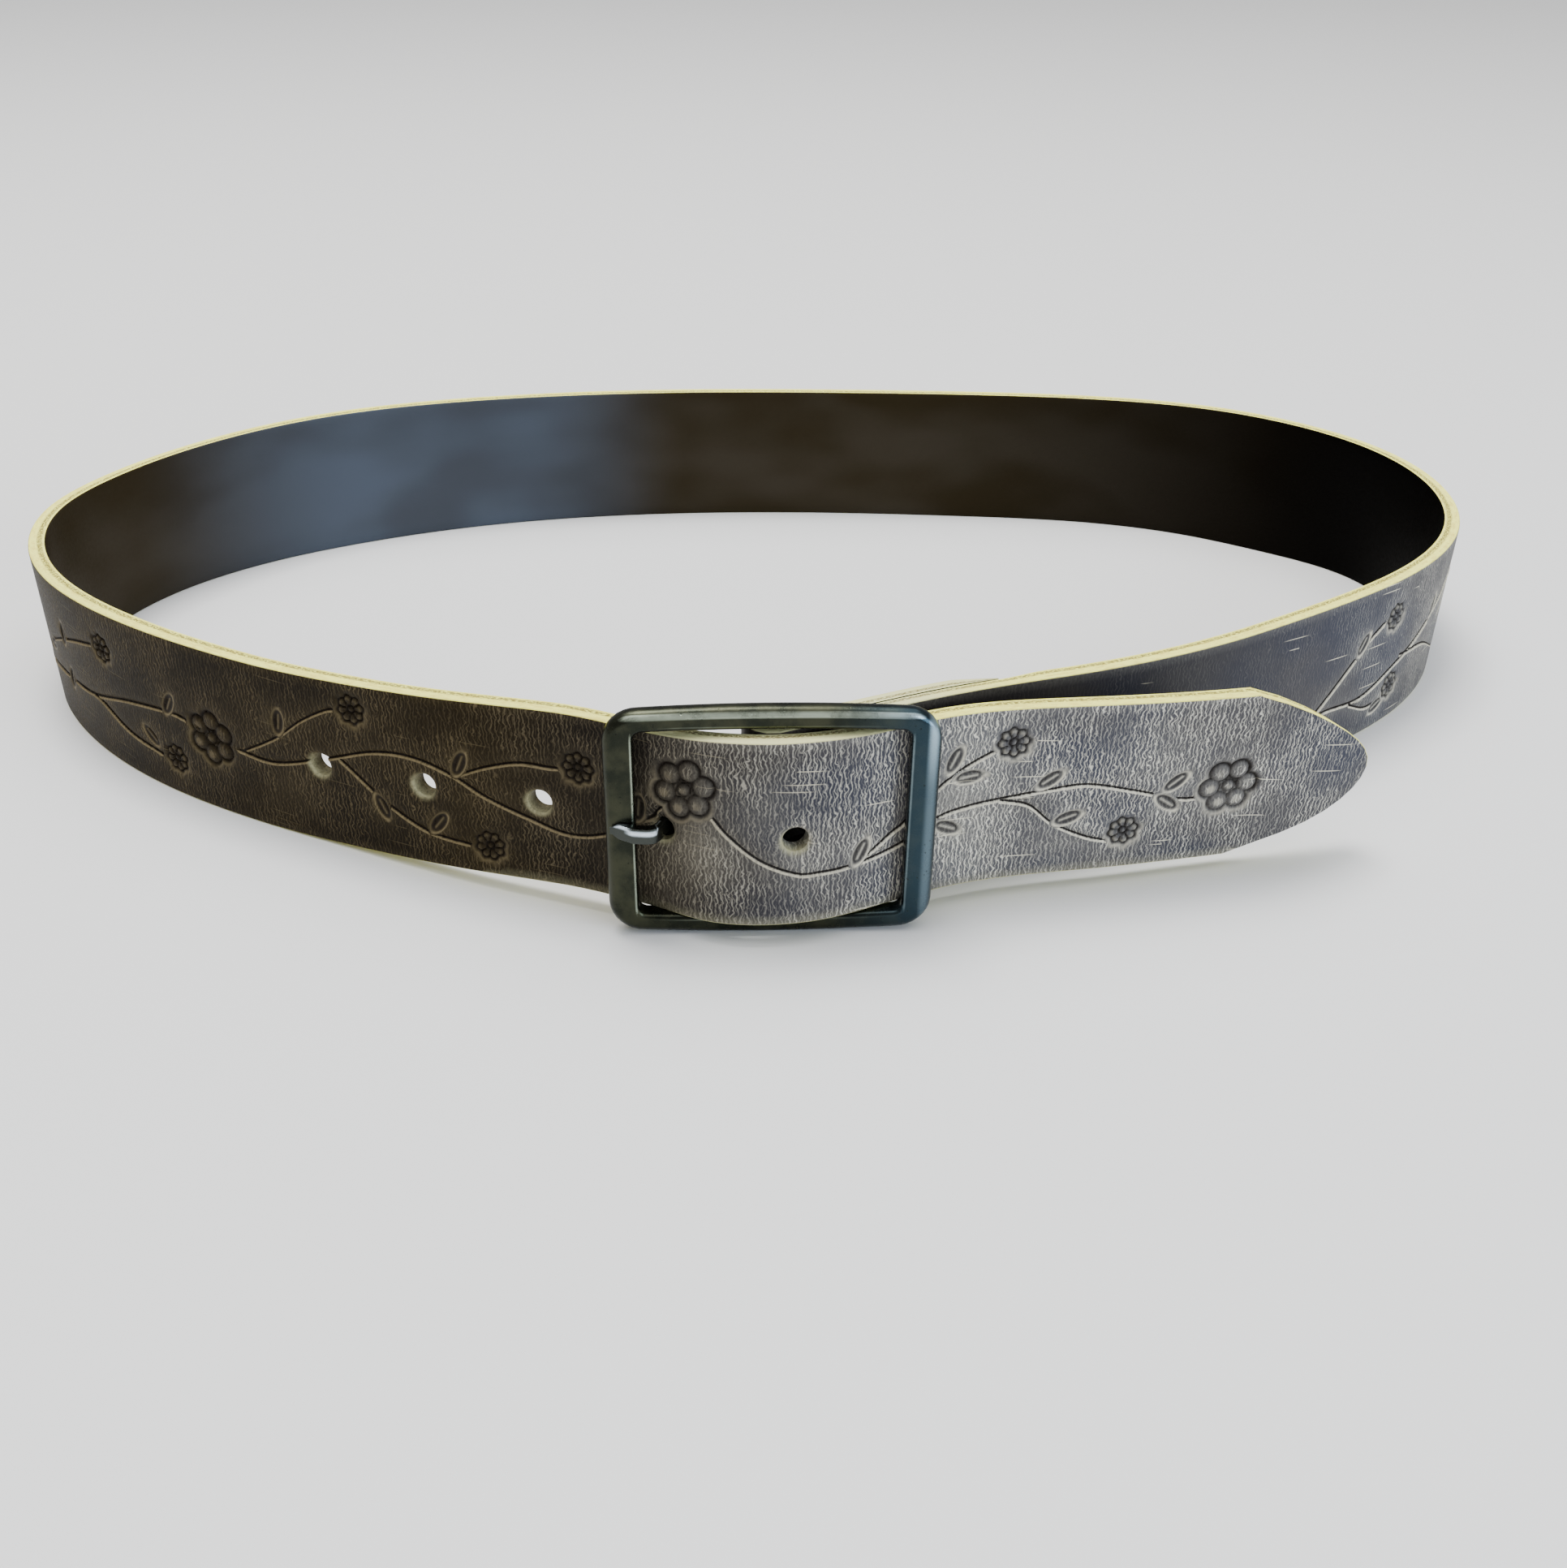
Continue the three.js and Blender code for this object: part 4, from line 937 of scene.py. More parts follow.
def curve_through(rows, step=0.15):
    """Points along a smooth curve through rows of (along, up), in millimetres."""
    rows = np.array(rows, float)
    padded = np.vstack([2 * rows[0] - rows[1], rows, 2 * rows[-1] - rows[-2]])
    pieces = []
    for a, b, c, d in zip(padded[:-3], padded[1:-2], padded[2:-1], padded[3:]):
        t = np.arange(0, 1, step / max(np.linalg.norm(c - b), step))[:, None]
        pieces.append(
            0.5 * (2 * b + (c - a) * t + (2 * a - 5 * b + 4 * c - d) * t**2 + (3 * b - a - 3 * c + d) * t**3)
        )
    return np.vstack([*pieces, rows[-1:]])


class Carving:
    """Where the stems, leaves and flowers of the vine lie, in millimetres past the bar and over the edge."""

    def __init__(self):
        self.stems, self.leaves, self.small_flowers, self.big_flowers = [], [], [], []
        for start, length, height, spray in SPRAYS:
            stretch = length / SPRAY_LENGTH
            for rows in spray["stems"]:
                self.stems.append(curve_through([(start + stretch * a, height + u) for a, u in rows]))
            for along, up, turn in spray["leaves"]:
                self.leaves.append((start + stretch * along, height + up, math.radians(turn)))
            for along, up, turn in spray["small_flowers"]:
                self.small_flowers.append((start + stretch * along, height + up, math.radians(turn)))
            up, turn = spray["end"]
            self.big_flowers.append((start + length, height + up, math.radians(turn)))
        self.big_flowers.append((SPRAYS[0][0], SPRAYS[0][2], 0.3))
        points = np.vstack(self.stems)
        self.stem_points = points
        steps = np.vstack([np.gradient(stem, axis=0) for stem in self.stems])
        steps /= np.linalg.norm(steps, axis=1)[:, None]
        facing_up = np.where(steps[:, :1] < 0, -1, 1)
        self.stem_up = np.stack([-steps[:, 1], steps[:, 0]], 1) * facing_up
        self.tree = KDTree(len(points))
        for i, (along, up) in enumerate(points):
            self.tree.insert((along, up, 0), i)
        self.tree.balance()

    def to_stem(self, places):
        """Signed distance of each place from the nearest stem, positive above it."""
        found = np.array([self.tree.find((along, up, 0))[1:] for along, up in places])
        index = found[:, 0].astype(int)
        above = ((places - self.stem_points[index]) * self.stem_up[index]).sum(1)
        return np.copysign(found[:, 1], above)

    def to_stamps(self, places):
        """Distance of each place from the outline of the nearest leaf or flower, negative inside."""
        nearest = np.full(len(places), FAR)
        for stamps, radius in (
            (self.leaves, LEAF_LENGTH / 2),
            (self.small_flowers, SMALL_FLOWER_RADIUS),
            (self.big_flowers, PETAL_RING + PETAL_RADIUS),
        ):
            for along, up, _ in stamps:
                away = np.hypot(places[:, 0] - along, places[:, 1] - up) - radius
                nearest = np.minimum(nearest, away)
        return nearest


def turned_about(places, along, up, turn):
    """Places seen from a stamp's middle and along its turn."""
    x, y = places[:, 0] - along, places[:, 1] - up
    return x * math.cos(turn) + y * math.sin(turn), y * math.cos(turn) - x * math.sin(turn)


def stem_relief(distance):
    """Relief of a stem: a cut with a slope above it and a raised rim below."""
    below = np.maximum(-distance, 0)
    relief = -CUT_DEPTH * np.where(distance > 0, fade(distance, STEM_SLOPE), bell(below, 0.22))
    return relief + 0.1 * bell(below - 0.55, 0.28) * (distance < 0)


def leaf_marks(x, y):
    """A pressed oval with a crease along its middle, with painted shade inside it, heavier along one side,
    and painted highlight outside its other side and along the crease.
    """
    share = np.hypot(x / (LEAF_LENGTH / 2), y / (LEAF_WIDTH / 2))
    inside = -CUT_DEPTH * smooth((1.02 - share) / 0.3) * (0.75 + 0.25 * smooth(0.5 + y))
    inside += 0.8 * CUT_DEPTH * bell(y, 0.38) * smooth((1 - share) / 0.4)
    outside = -0.5 * CUT_DEPTH * np.exp(-np.maximum(share - 1, 0) * LEAF_WIDTH / 2 / 0.35)
    relief = np.where(share < 1, np.minimum(inside, outside), outside)
    shadow = bell(share - 0.9, 0.16) * (0.6 + 0.4 * smooth(0.5 + y))
    shadow = np.maximum(shadow, 0.75 * smooth((1 - share) / 0.2) * (1 - bell(y, 0.3)))
    rim = bell(share - 1.25, 0.14) * (1 - 0.6 * smooth(0.5 + y))
    rim = np.maximum(rim, 0.55 * bell(y, 0.24) * (share < 0.75))
    return relief, shadow, rim


def small_flower_marks(x, y):
    """A stamped flower with eight petals round a small eye, with painted shade between and round its petals
    and painted highlight outside one side and on its outer petals.
    """
    petals = 8
    radius = np.hypot(x, y)
    angle = np.arctan2(y, x)
    outline = SMALL_FLOWER_RADIUS * (1 + 0.08 * np.cos(petals * angle))
    share = radius / outline
    lobe = np.abs(np.cos(petals * angle / 2))
    petal = smooth((share - 0.26) / 0.2) * smooth((1 - share) / 0.16) * smooth(lobe / 0.75)
    vein = bell(1 - lobe, 0.06) * smooth((share - 0.3) / 0.2) * smooth((0.75 - share) / 0.2)
    eye = smooth((0.24 - share) / 0.12)
    inside = -1.1 * CUT_DEPTH + CUT_DEPTH * np.maximum(petal, 0.9 * eye) - 0.25 * CUT_DEPTH * vein
    outside = -0.9 * CUT_DEPTH * fade(radius - outline, 0.5)
    relief = np.where(share < 1, inside, outside)
    shadow = np.where(share < 1, 1 - 0.7 * np.maximum(petal, eye), bell(radius - outline, 0.3))
    rim = 0.5 * bell(radius - outline - 0.75, 0.4) * smooth(0.5 - y / 4)
    rim = np.maximum(rim, 0.35 * petal * smooth((share - 0.6) / 0.2))
    return relief, shadow, rim


def big_flower_marks(x, y, turn):
    """A flower of six domed petals round a domed eye, with painted shade round and on the petals, heavier on
    the upper right, and painted highlight outside them and on their dome tops at the lower left.
    """
    petals = 6
    dome = np.full(len(x), -FAR)
    outer = np.full(len(x), FAR)
    for k in range(petals + 1):
        angle = 2 * math.pi * k / petals + turn
        ring = PETAL_RING if k < petals else 0
        size = PETAL_RADIUS if k < petals else FLOWER_EYE
        away = np.hypot(x - ring * math.cos(angle), y - ring * math.sin(angle))
        crown = np.sqrt(np.clip(1 - (away / size) ** 2, 0, 1))
        dome = np.maximum(dome, np.where(away < size, crown, -FAR))
        outer = np.minimum(outer, away - size)
    depth = 1.5 * CUT_DEPTH
    inside = -depth + 1.1 * depth * np.maximum(dome, 0)
    outside = -depth * fade(outer, 0.45)
    relief = np.where(dome >= 0, inside, outside)
    upper = smooth(0.5 + (x + 2 * y) / 10)
    shadow = bell(outer, 0.34) * (0.7 + 0.3 * upper)
    shadow = np.maximum(shadow, bell(outer - 0.2, 0.42) * upper)
    shadow = np.maximum(shadow, (0.68 - 0.5 * smooth((dome - 0.3) / 0.5)) * (dome >= 0))
    rim = 0.4 * bell(outer - 0.8, 0.35) * (1 - upper)
    rim = np.maximum(rim, 0.5 * smooth((dome - 0.86) / 0.12) * smooth(0.5 - (x + y) / 6))
    return relief, shadow, rim


def carve(carving, places):
    """Relief in millimetres, shares of painted shadow and of rim highlight, and what lies outside the
    stamps, on the grain face.
    """
    relief = stem_relief(carving.to_stem(places))
    shadow, rim = np.zeros((2, len(places)))
    outside = np.ones(len(places), bool)
    kinds = (
        (carving.leaves, LEAF_LENGTH / 2 + 1.6, leaf_marks),
        (carving.small_flowers, SMALL_FLOWER_RADIUS + 2.2, small_flower_marks),
        (carving.big_flowers, PETAL_RING + PETAL_RADIUS + 2.2, big_flower_marks),
    )
    for stamps, reach, marks in kinds:
        for along, up, turn in stamps:
            near = np.hypot(places[:, 0] - along, places[:, 1] - up) < reach
            if marks is big_flower_marks:
                pressed, dark, light = marks(*turned_about(places[near], along, up, 0), turn)
            else:
                pressed, dark, light = marks(*turned_about(places[near], along, up, turn))
            stamped = smooth(-pressed / 0.12)
            relief[near] = np.minimum(relief[near] * (1 - stamped), pressed)
            shadow[near] = np.maximum(shadow[near] * (1 - stamped), dark)
            rim[near] = np.maximum(rim[near] * (1 - stamped), light)
            outside[np.flatnonzero(near)[stamped > 0.5]] = False
    return relief, shadow, rim, outside


def flat_strap():
    """A flat grid of the strap's length and width, drawn to a rounded point at its end."""
    bpy.ops.mesh.primitive_grid_add(
        x_subdivisions=round(ROUTE.length / GRID_CELL), y_subdivisions=round(STRAP_WIDTH / GRID_CELL), size=1
    )
    strap = named("tooled_strap")
    points = read_points(strap.data)
    along = (points[:, 0] + 0.5) * ROUTE.length
    across = 2 * points[:, 1]
    from_end = np.clip((along - ROUTE.length + 2 * TIP_TAPER) / (2 * TIP_TAPER), 0, 1)
    points[:, 0] = along - TIP_TAPER * across**2 * from_end**2
    points[:, 1] = (across + 1) * STRAP_WIDTH / 2
    write_points(strap.data, points)
    return strap


def round_openings():
    """The round holes of the flat strap: (distance, height, radius)."""
    first = ROUTE.over_bar + HOLE_SPACING - HOLE_FROM_BAR
    holes = [(first - i * HOLE_SPACING, HOLE_HEIGHT, HOLE_RADIUS) for i in range(HOLE_COUNT)]
    for name in ("fold_rivet_near", "fold_rivet_far"):
        low, high = (corner - BUCKLE_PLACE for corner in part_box(name))
        reach = (low.x + high.x) / 2 / math.cos(LEG_ANGLE)
        for along in (FOLD_LENGTH - reach, ROUTE.leg_start + reach):
            holes.append((along, STRAP_WIDTH / 2, RIVET_HOLE))
    return holes


def cut_openings(strap):
    """Cuts the round holes and the prong's slot out of the flat strap."""
    slot_from = ROUTE.leg_start - (math.pi + LEG_ANGLE) * TURN_RADIUS - SLOT_LEG
    slot_to = ROUTE.leg_start + SLOT_LEG
    openings = [(along, along, up, radius) for along, up, radius in round_openings()]
    end = SLOT_HALF_HEIGHT
    openings.append((slot_from + end, slot_to - end, HOLE_HEIGHT, end))

    def away(places):
        """Distance from the nearest opening's outline, negative inside, and the step back onto it."""
        nearest = np.full(len(places), FAR)
        step = np.zeros((len(places), 2))
        for start, end, up, radius in openings:
            spine = np.stack([np.clip(places[:, 0], start, end), np.full(len(places), up)], 1)
            out = places[:, :2] - spine
            length = np.linalg.norm(out, axis=1)
            closer = length - radius < nearest
            nearest = np.where(closer, length - radius, nearest)
            back = out / np.maximum(length, 1e-9)[:, None] * (radius - length)[:, None]
            step[closer] = back[closer]
        return nearest, step

    for reach in OPENING_REACHES:
        distance, _ = away(read_faces(strap.data, "center"))
        pick(strap, "FACE", np.abs(distance) < reach)
        bpy.ops.mesh.subdivide(number_cuts=1, ngon=False)
        leave_edit()
    distance, _ = away(read_faces(strap.data, "center"))
    pick(strap, "FACE", distance < 0)
    bpy.ops.mesh.delete(type="FACE")
    leave_edit()
    points = read_points(strap.data)
    distance, step = away(points)
    rim = np.zeros(len(points), bool)
    rim[open_edge_vertices(strap.data)] = True
    moved = rim & (np.abs(distance) < RIM_REACH)
    points[moved, :2] += step[moved]
    write_points(strap.data, points)


def open_edge_vertices(mesh):
    """The vertices on the edges that only one face has."""
    faces = np.bincount(read(mesh.loops, "edge_index"), minlength=len(mesh.edges))
    return np.unique(read(mesh.edges, "vertices", width=2)[faces == 1])


def thicken(strap):
    """Gives the flat sheet its thickness and eases its outer edges."""
    apply_modifier(
        strap, "SOLIDIFY", thickness=STRAP_THICKNESS, offset=-1, material_offset=1, material_offset_rim=2
    )
    mesh = strap.data
    normals = read_faces(mesh, "normal")
    centres = read_faces(mesh, "center")
    wall = np.abs(normals[:, 2]) < 0.5
    hole_reach = SLOT_HALF_HEIGHT + HOLE_WALL_REACH
    in_hole = wall & (np.abs(centres[:, 1] - HOLE_HEIGHT) < hole_reach)
    in_hole &= centres[:, 0] < ROUTE.length - 1.2 * TIP_TAPER
    in_hole &= centres[:, 0] > 1 * MM
    outer = wall & ~in_hole
    slots = np.where(in_hole, 0, np.where(wall, 2, np.where(normals[:, 2] < 0, 1, 0)))
    mesh.polygons.foreach_set("material_index", slots.astype(np.int32))
    edge_of = read(mesh.loops, "edge_index")
    totals = read(mesh.polygons, "loop_total")
    face_of = np.repeat(np.arange(len(totals)), totals)
    count = len(mesh.edges)
    by_wall = np.bincount(edge_of, weights=outer[face_of], minlength=count)
    by_face = np.bincount(edge_of, weights=~wall[face_of], minlength=count)
    pick(strap, "EDGE", (by_wall > 0) & (by_face > 0))
    round_edges(EDGE_EASE, 3)
    leave_edit()


def refine_carved(strap, carving):
    """Subdivides the grain face round the carving, finer the closer it is."""
    for stem_reach, stamp_reach in CARVING_REACHES:
        mesh = strap.data
        centres = read_faces(mesh, "center")
        front = (read_faces(mesh, "normal")[:, 2] > 0.9) & (centres[:, 2] > -0.01 * MM)
        chosen = np.zeros(len(centres), bool)
        index = np.flatnonzero(front)
        places = carved_places(centres[index])
        near = np.abs(carving.to_stem(places)) < stem_reach
        chosen[index] = near | (carving.to_stamps(places) < stamp_reach)
        pick(strap, "FACE", chosen)
        bpy.ops.mesh.subdivide(number_cuts=1, ngon=False)
        leave_edit()


def carved_places(points):
    """Flat places in millimetres past the bar and over the lower edge."""
    return np.stack([(points[:, 0] - ROUTE.over_bar) / MM, points[:, 1] / MM], 1)


def add_shares(mesh, name, values):
    """Stores a number for each vertex."""
    mesh.attributes.new(name, "FLOAT", "POINT").data.foreach_set("value", values.astype(np.float32))


def rubbed_share(places):
    """How far the dark finish is rubbed off to tan, from 0 to 1."""
    rubbed = np.zeros(len(places))
    for along, up, length, height, strength in RUBBED_PATCHES:
        away = np.hypot((places[:, 0] - along) / length, (places[:, 1] - up) / height)
        rubbed = np.maximum(rubbed, strength * np.exp(-1.5 * away**2))
    for along, up, radius in round_openings():
        away = np.hypot(places[:, 0] - (along - ROUTE.over_bar) / MM, places[:, 1] - up / MM) - radius / MM
        rubbed = np.maximum(rubbed, fade(away, HOLE_WEAR))
    to_edge = np.minimum(places[:, 1], STRAP_WIDTH / MM - places[:, 1])
    return np.maximum(rubbed, EDGE_WEAR[0] * np.exp(-to_edge / EDGE_WEAR[1]))


def press_and_mark(strap, carving):
    """Presses the carving into the grain face and stores what the materials read."""
    mesh = strap.data
    points = read_points(mesh)
    front = points[:, 2] > GRAIN_SIDE
    places = carved_places(points)
    relief, shadow, rim = np.zeros((3, len(points)))
    unstamped = np.zeros(len(points), bool)
    relief[front], shadow[front], rim[front], unstamped[front] = carve(carving, places[front])
    to_stem = carving.to_stem(places)
    stem_wear = STEM_WEAR[0] * fade(np.abs(to_stem), STEM_WEAR[1])
    stamp_wear = STAMP_WEAR[0] * fade(carving.to_stamps(places), STAMP_WEAR[1])
    rubbed = np.maximum(rubbed_share(places), np.maximum(stem_wear, stamp_wear))
    bare_and_lit = np.zeros(len(points))
    for along, up, radius in round_openings()[:HOLE_COUNT]:
        away = np.maximum(np.hypot(points[:, 0] - along, points[:, 1] - up) - radius, 0) / MM
        relief -= HOLE_DISH[0] * fade(away, HOLE_DISH[1]) * front
        # Painted light: the pale rim of worn-off finish round each hole is faint all round and strong on its
        # lower left, the side that faces the light, and fades with depth into the hole
        lit_side = smooth(0.5 - (0.8 * (points[:, 0] - along) + 1.2 * (points[:, 1] - up)) / (2.5 * radius))
        rim_share = bell(away, 0.5) * bell(points[:, 2] / MM, 1.5)
        bare_and_lit = np.maximum(bare_and_lit, rim_share * (0.12 + 0.88 * lit_side))
        shadow *= 1 - np.exp(-away)
    edge_share, edge_width = LOWER_EDGE_BARE
    bare_and_lit = np.maximum(bare_and_lit, edge_share * bell(places[:, 1], edge_width) * (places[:, 0] > BARE_FROM))
    flat = np.stack([points[:, 0] / MM, points[:, 1] / MM, -points[:, 2] / MM], 1)
    stored = mesh.attributes.new("strap_place", "FLOAT_VECTOR", "POINT")
    stored.data.foreach_set("vector", flat.astype(np.float32).ravel())
    to_stem = np.where(unstamped, np.clip(to_stem, -3, 3), 3)
    # The stamps' shadow share is painted shade and their rim share painted highlight
    shares = {"bare_and_lit": bare_and_lit, "rubbed": rubbed, "stamp_shadow": shadow, "stamp_highlight": rim}
    shares |= {"stem_away": to_stem, "stem_distance": np.abs(to_stem), "stamped": front & ~unstamped}
    shares["ash"] = np.interp(places[:, 0], *ASH_AND_SHEEN_SIDE)
    for name, values in shares.items():
        add_shares(mesh, name, values)
    points[:, 2] += relief * MM
    write_points(mesh, points)


def settle_used_hole(points):
    """Closes the used hole behind the prong and lets the strap sag a little beside it."""
    past = points[:, 0] - ROUTE.over_bar + HOLE_FROM_BAR
    around = np.hypot(past, points[:, 1] - HOLE_HEIGHT) / HOLE_RADIUS
    left = smooth(-past / HOLE_RADIUS)
    points[:, 0] += HOLE_CLOSING * left * smooth((CLOSING_REACH[0] - around) / CLOSING_REACH[1])
    points[:, 1] -= STRAP_SAG * smooth(1 - np.abs(past + SAG_BEFORE_HOLE) / SAG_REACH)


def bend_to_route(strap):
    """Bends the flat strap round its route."""
    points = read_points(strap.data)
    settle_used_hole(points)
    write_points(strap.data, ROUTE.place(points[:, 0], points[:, 1], -points[:, 2]))


def rounded_outline(name, half_length, half_height, sag, corner):
    """A flat outline with rounded corners, whose long sides bow outwards, lying in X and Z."""
    bpy.ops.mesh.primitive_plane_add(size=2, rotation=(math.pi / 2, 0, 0))
    outline = named(name)
    outline.scale = (half_length, half_height - sag, 1)
    settle(outline)
    edit_all(outline)
    bpy.ops.mesh.delete(type="ONLY_FACE")
    bpy.ops.mesh.select_all(action="SELECT")
    bpy.ops.mesh.bevel(offset=corner, segments=CORNER_SEGMENTS, affect="VERTICES", clamp_overlap=False)
    leave_edit()
    mesh = outline.data
    points = read_points(mesh)
    ends = np.array([edge.vertices[:] for edge in mesh.edges])
    spans = np.abs(points[ends[:, 0]] - points[ends[:, 1]])
    pick(outline, "EDGE", spans[:, 0] > 1.2 * half_length)
    bpy.ops.mesh.subdivide(number_cuts=SIDE_CUTS)
    leave_edit()
    points = read_points(mesh)
    flat_half = half_length - corner
    bow = np.clip(1 - (points[:, 0] / flat_half) ** 2, 0, 1)
    points[:, 2] += np.sign(points[:, 2]) * sag * bow
    write_points(mesh, points)
    return outline


def buckle_ring(look):
    """The ring of the buckle: two outlines, bridged, given their depth and rounded."""
    window_half = BUCKLE_HEIGHT / 2 - RAIL_HEIGHT
    ring = rounded_outline("cast_buckle", BUCKLE_HALF, BUCKLE_HEIGHT / 2, RING_SAG, CORNER_RADIUS)
    window = rounded_outline("window", BUCKLE_HALF - END_BAR_WIDTH, window_half, RAIL_SAG, WINDOW_CORNER)
    choose(ring)
    window.select_set(True)
    bpy.ops.object.join()
    edit_all(ring)
    bpy.ops.mesh.bridge_edge_loops()
    bpy.ops.mesh.select_all(action="SELECT")
    bpy.ops.mesh.extrude_region_move(TRANSFORM_OT_translate={"value": (0, BUCKLE_DEPTH, 0)})
    bpy.ops.mesh.select_all(action="SELECT")
    bpy.ops.mesh.normals_make_consistent(inside=False)
    leave_edit()
    points = read_points(ring.data)
    points[:, 1] -= BUCKLE_DEPTH / 2
    points[:, 2] += BUCKLE_HEIGHT / 2
    write_points(ring.data, points)
    for inner, round_off in ((False, look.casting_round), (True, look.window_round)):
        sharp = edge_angles(ring.data) > math.radians(60)
        pick(ring, "EDGE", sharp & (window_edges(ring.data) == inner))
        round_edges(round_off, ROUND_SEGMENTS)
        leave_edit()
    return ring


def window_edges(mesh):
    """Which edges of the ring lie at its window."""
    points = read_points(mesh)
    x_limit = BUCKLE_HALF - 0.6 * END_BAR_WIDTH
    z_limit = BUCKLE_HEIGHT / 2 - 0.6 * RAIL_HEIGHT
    inside = (np.abs(points[:, 0]) < x_limit) & (np.abs(points[:, 2] - BUCKLE_HEIGHT / 2) < z_limit)
    return inside[read(mesh.edges, "vertices", width=2)].all(axis=1)


def edge_angles(mesh):
    """The angle between the faces on both sides of each edge."""
    normals = read_faces(mesh, "normal")
    angles = np.zeros(len(mesh.edges))
    sides = [[] for _ in mesh.edges]
    for face in mesh.polygons:
        for key in face.loop_indices:
            sides[mesh.loops[key].edge_index].append(face.index)
    for i, faces in enumerate(sides):
        if len(faces) == 2:
            angles[i] = math.acos(np.clip(normals[faces[0]] @ normals[faces[1]], -1, 1))
    return angles


def rod(radius, low, high, x=0.0, y=BAR_SETBACK, sides=48):
    """A round rod along Z."""
    bpy.ops.mesh.primitive_cylinder_add(
        vertices=sides, radius=radius, depth=high - low, location=(x, y, (low + high) / 2)
    )
    made = named("rod")
    settle(made)
    return made


def lug(at_top):
    """A lug that slopes from behind a rail to the end of the centre bar."""
    front, back = -BUCKLE_DEPTH / 4, BAR_SETBACK + BAR_RADIUS + LUG_WALL
    low = (2 * LUG_SKIN, LUG_INNER - LUG_END_HEIGHT)
    high = (RAIL_HEIGHT, LUG_INNER)
    bpy.ops.mesh.primitive_cube_add(size=1)
    made = named("lug")
    points = read_points(made.data)
    at_back = points[:, 1] > 0
    above = points[:, 2] > 0
    points[:, 0] *= LUG_WIDTH
    points[:, 1] = np.where(at_back, back, front)
    points[:, 2] = np.where(at_back, np.where(above, high[1], low[1]), np.where(above, high[0], low[0]))
    if at_top:
        points[:, 2] = BUCKLE_HEIGHT - points[:, 2]
    write_points(made.data, points)
    edit_all(made)
    bpy.ops.mesh.normals_make_consistent(inside=False)
    leave_edit()
    apply_modifier(made, "BEVEL", width=LUG_ROUND, segments=3, limit_method="NONE")
    return made


def move_to_buckle(obj):
    """Moves a piece modelled round the buckle's middle to its place in the frame."""
    write_points(obj.data, read_points(obj.data) + np.array(BUCKLE_PLACE))


def rubbed_and_glint_lines(points):
    """Distances in millimetres from the ring's front top crest and from the front edge of its window, along
    which rubbed metal and painted highlights lie.
    """
    x = np.abs(points[:, 0])
    z = np.abs(points[:, 2] - BUCKLE_HEIGHT / 2)
    window_x = x - (BUCKLE_HALF - END_BAR_WIDTH)
    window_z = z - (BUCKLE_HEIGHT / 2 - RAIL_HEIGHT + WINDOW_TRIM)
    outside, behind = WINDOW_LINE
    to_window = np.hypot(np.maximum(window_x, window_z) - outside, points[:, 1] + BUCKLE_DEPTH / 2 - behind)
    sag = RING_SAG * np.clip(x / BUCKLE_HALF, 0, 1) ** 2
    to_crest = np.hypot(points[:, 1] + CREST[0], BUCKLE_HEIGHT / 2 - sag - CREST[1] - z)
    to_crest = np.where(points[:, 2] > BUCKLE_HEIGHT / 2, to_crest, NO_CREST)
    return to_crest / MM, to_window / MM


def prong_line():
    """The middle line of the prong's shank from the eye to its end."""
    hole = ROUTE.over_bar - HOLE_FROM_BAR
    channel = [
        ROUTE.place(hole + PRONG_SHIFT, HOLE_HEIGHT, depth) - np.array(BUCKLE_PLACE)
        for depth in (STRAP_THICKNESS, STRAP_THICKNESS / 2, 0)
    ]
    mouth = channel[-1]
    edge = ROUTE.place(hole + HOLE_RADIUS, HOLE_HEIGHT, STRAP_THICKNESS) - np.array(BUCKLE_PLACE)
    behind = edge[1] + GAP + PRONG_THICKNESS / 2 + PRONG_EASE
    front = -BUCKLE_DEPTH / 2 - GAP - PRONG_THICKNESS / 2
    turned = -BUCKLE_HALF + PRONG_TURN * END_BAR_WIDTH
    rows = [
        (-BAR_RADIUS - 0.5 * MM, behind - 1.5 * PRONG_EASE),
        (edge[0] / 2, behind - PRONG_EASE),
        (edge[0] + HOLE_RADIUS / 2, behind),
        *((x, y) for x, y, _ in channel),
    ]
    for along, forward in PRONG_ROWS:
        rows.append((mouth[0] + along * (turned - mouth[0]), mouth[1] + forward * (front - mouth[1])))
    rows.append((-BUCKLE_HALF - PRONG_END, front))
    rows = [(x, y, 0) for x, y in rows]
    return spline_through(rows, (-1, 0, 0))[:, :2]


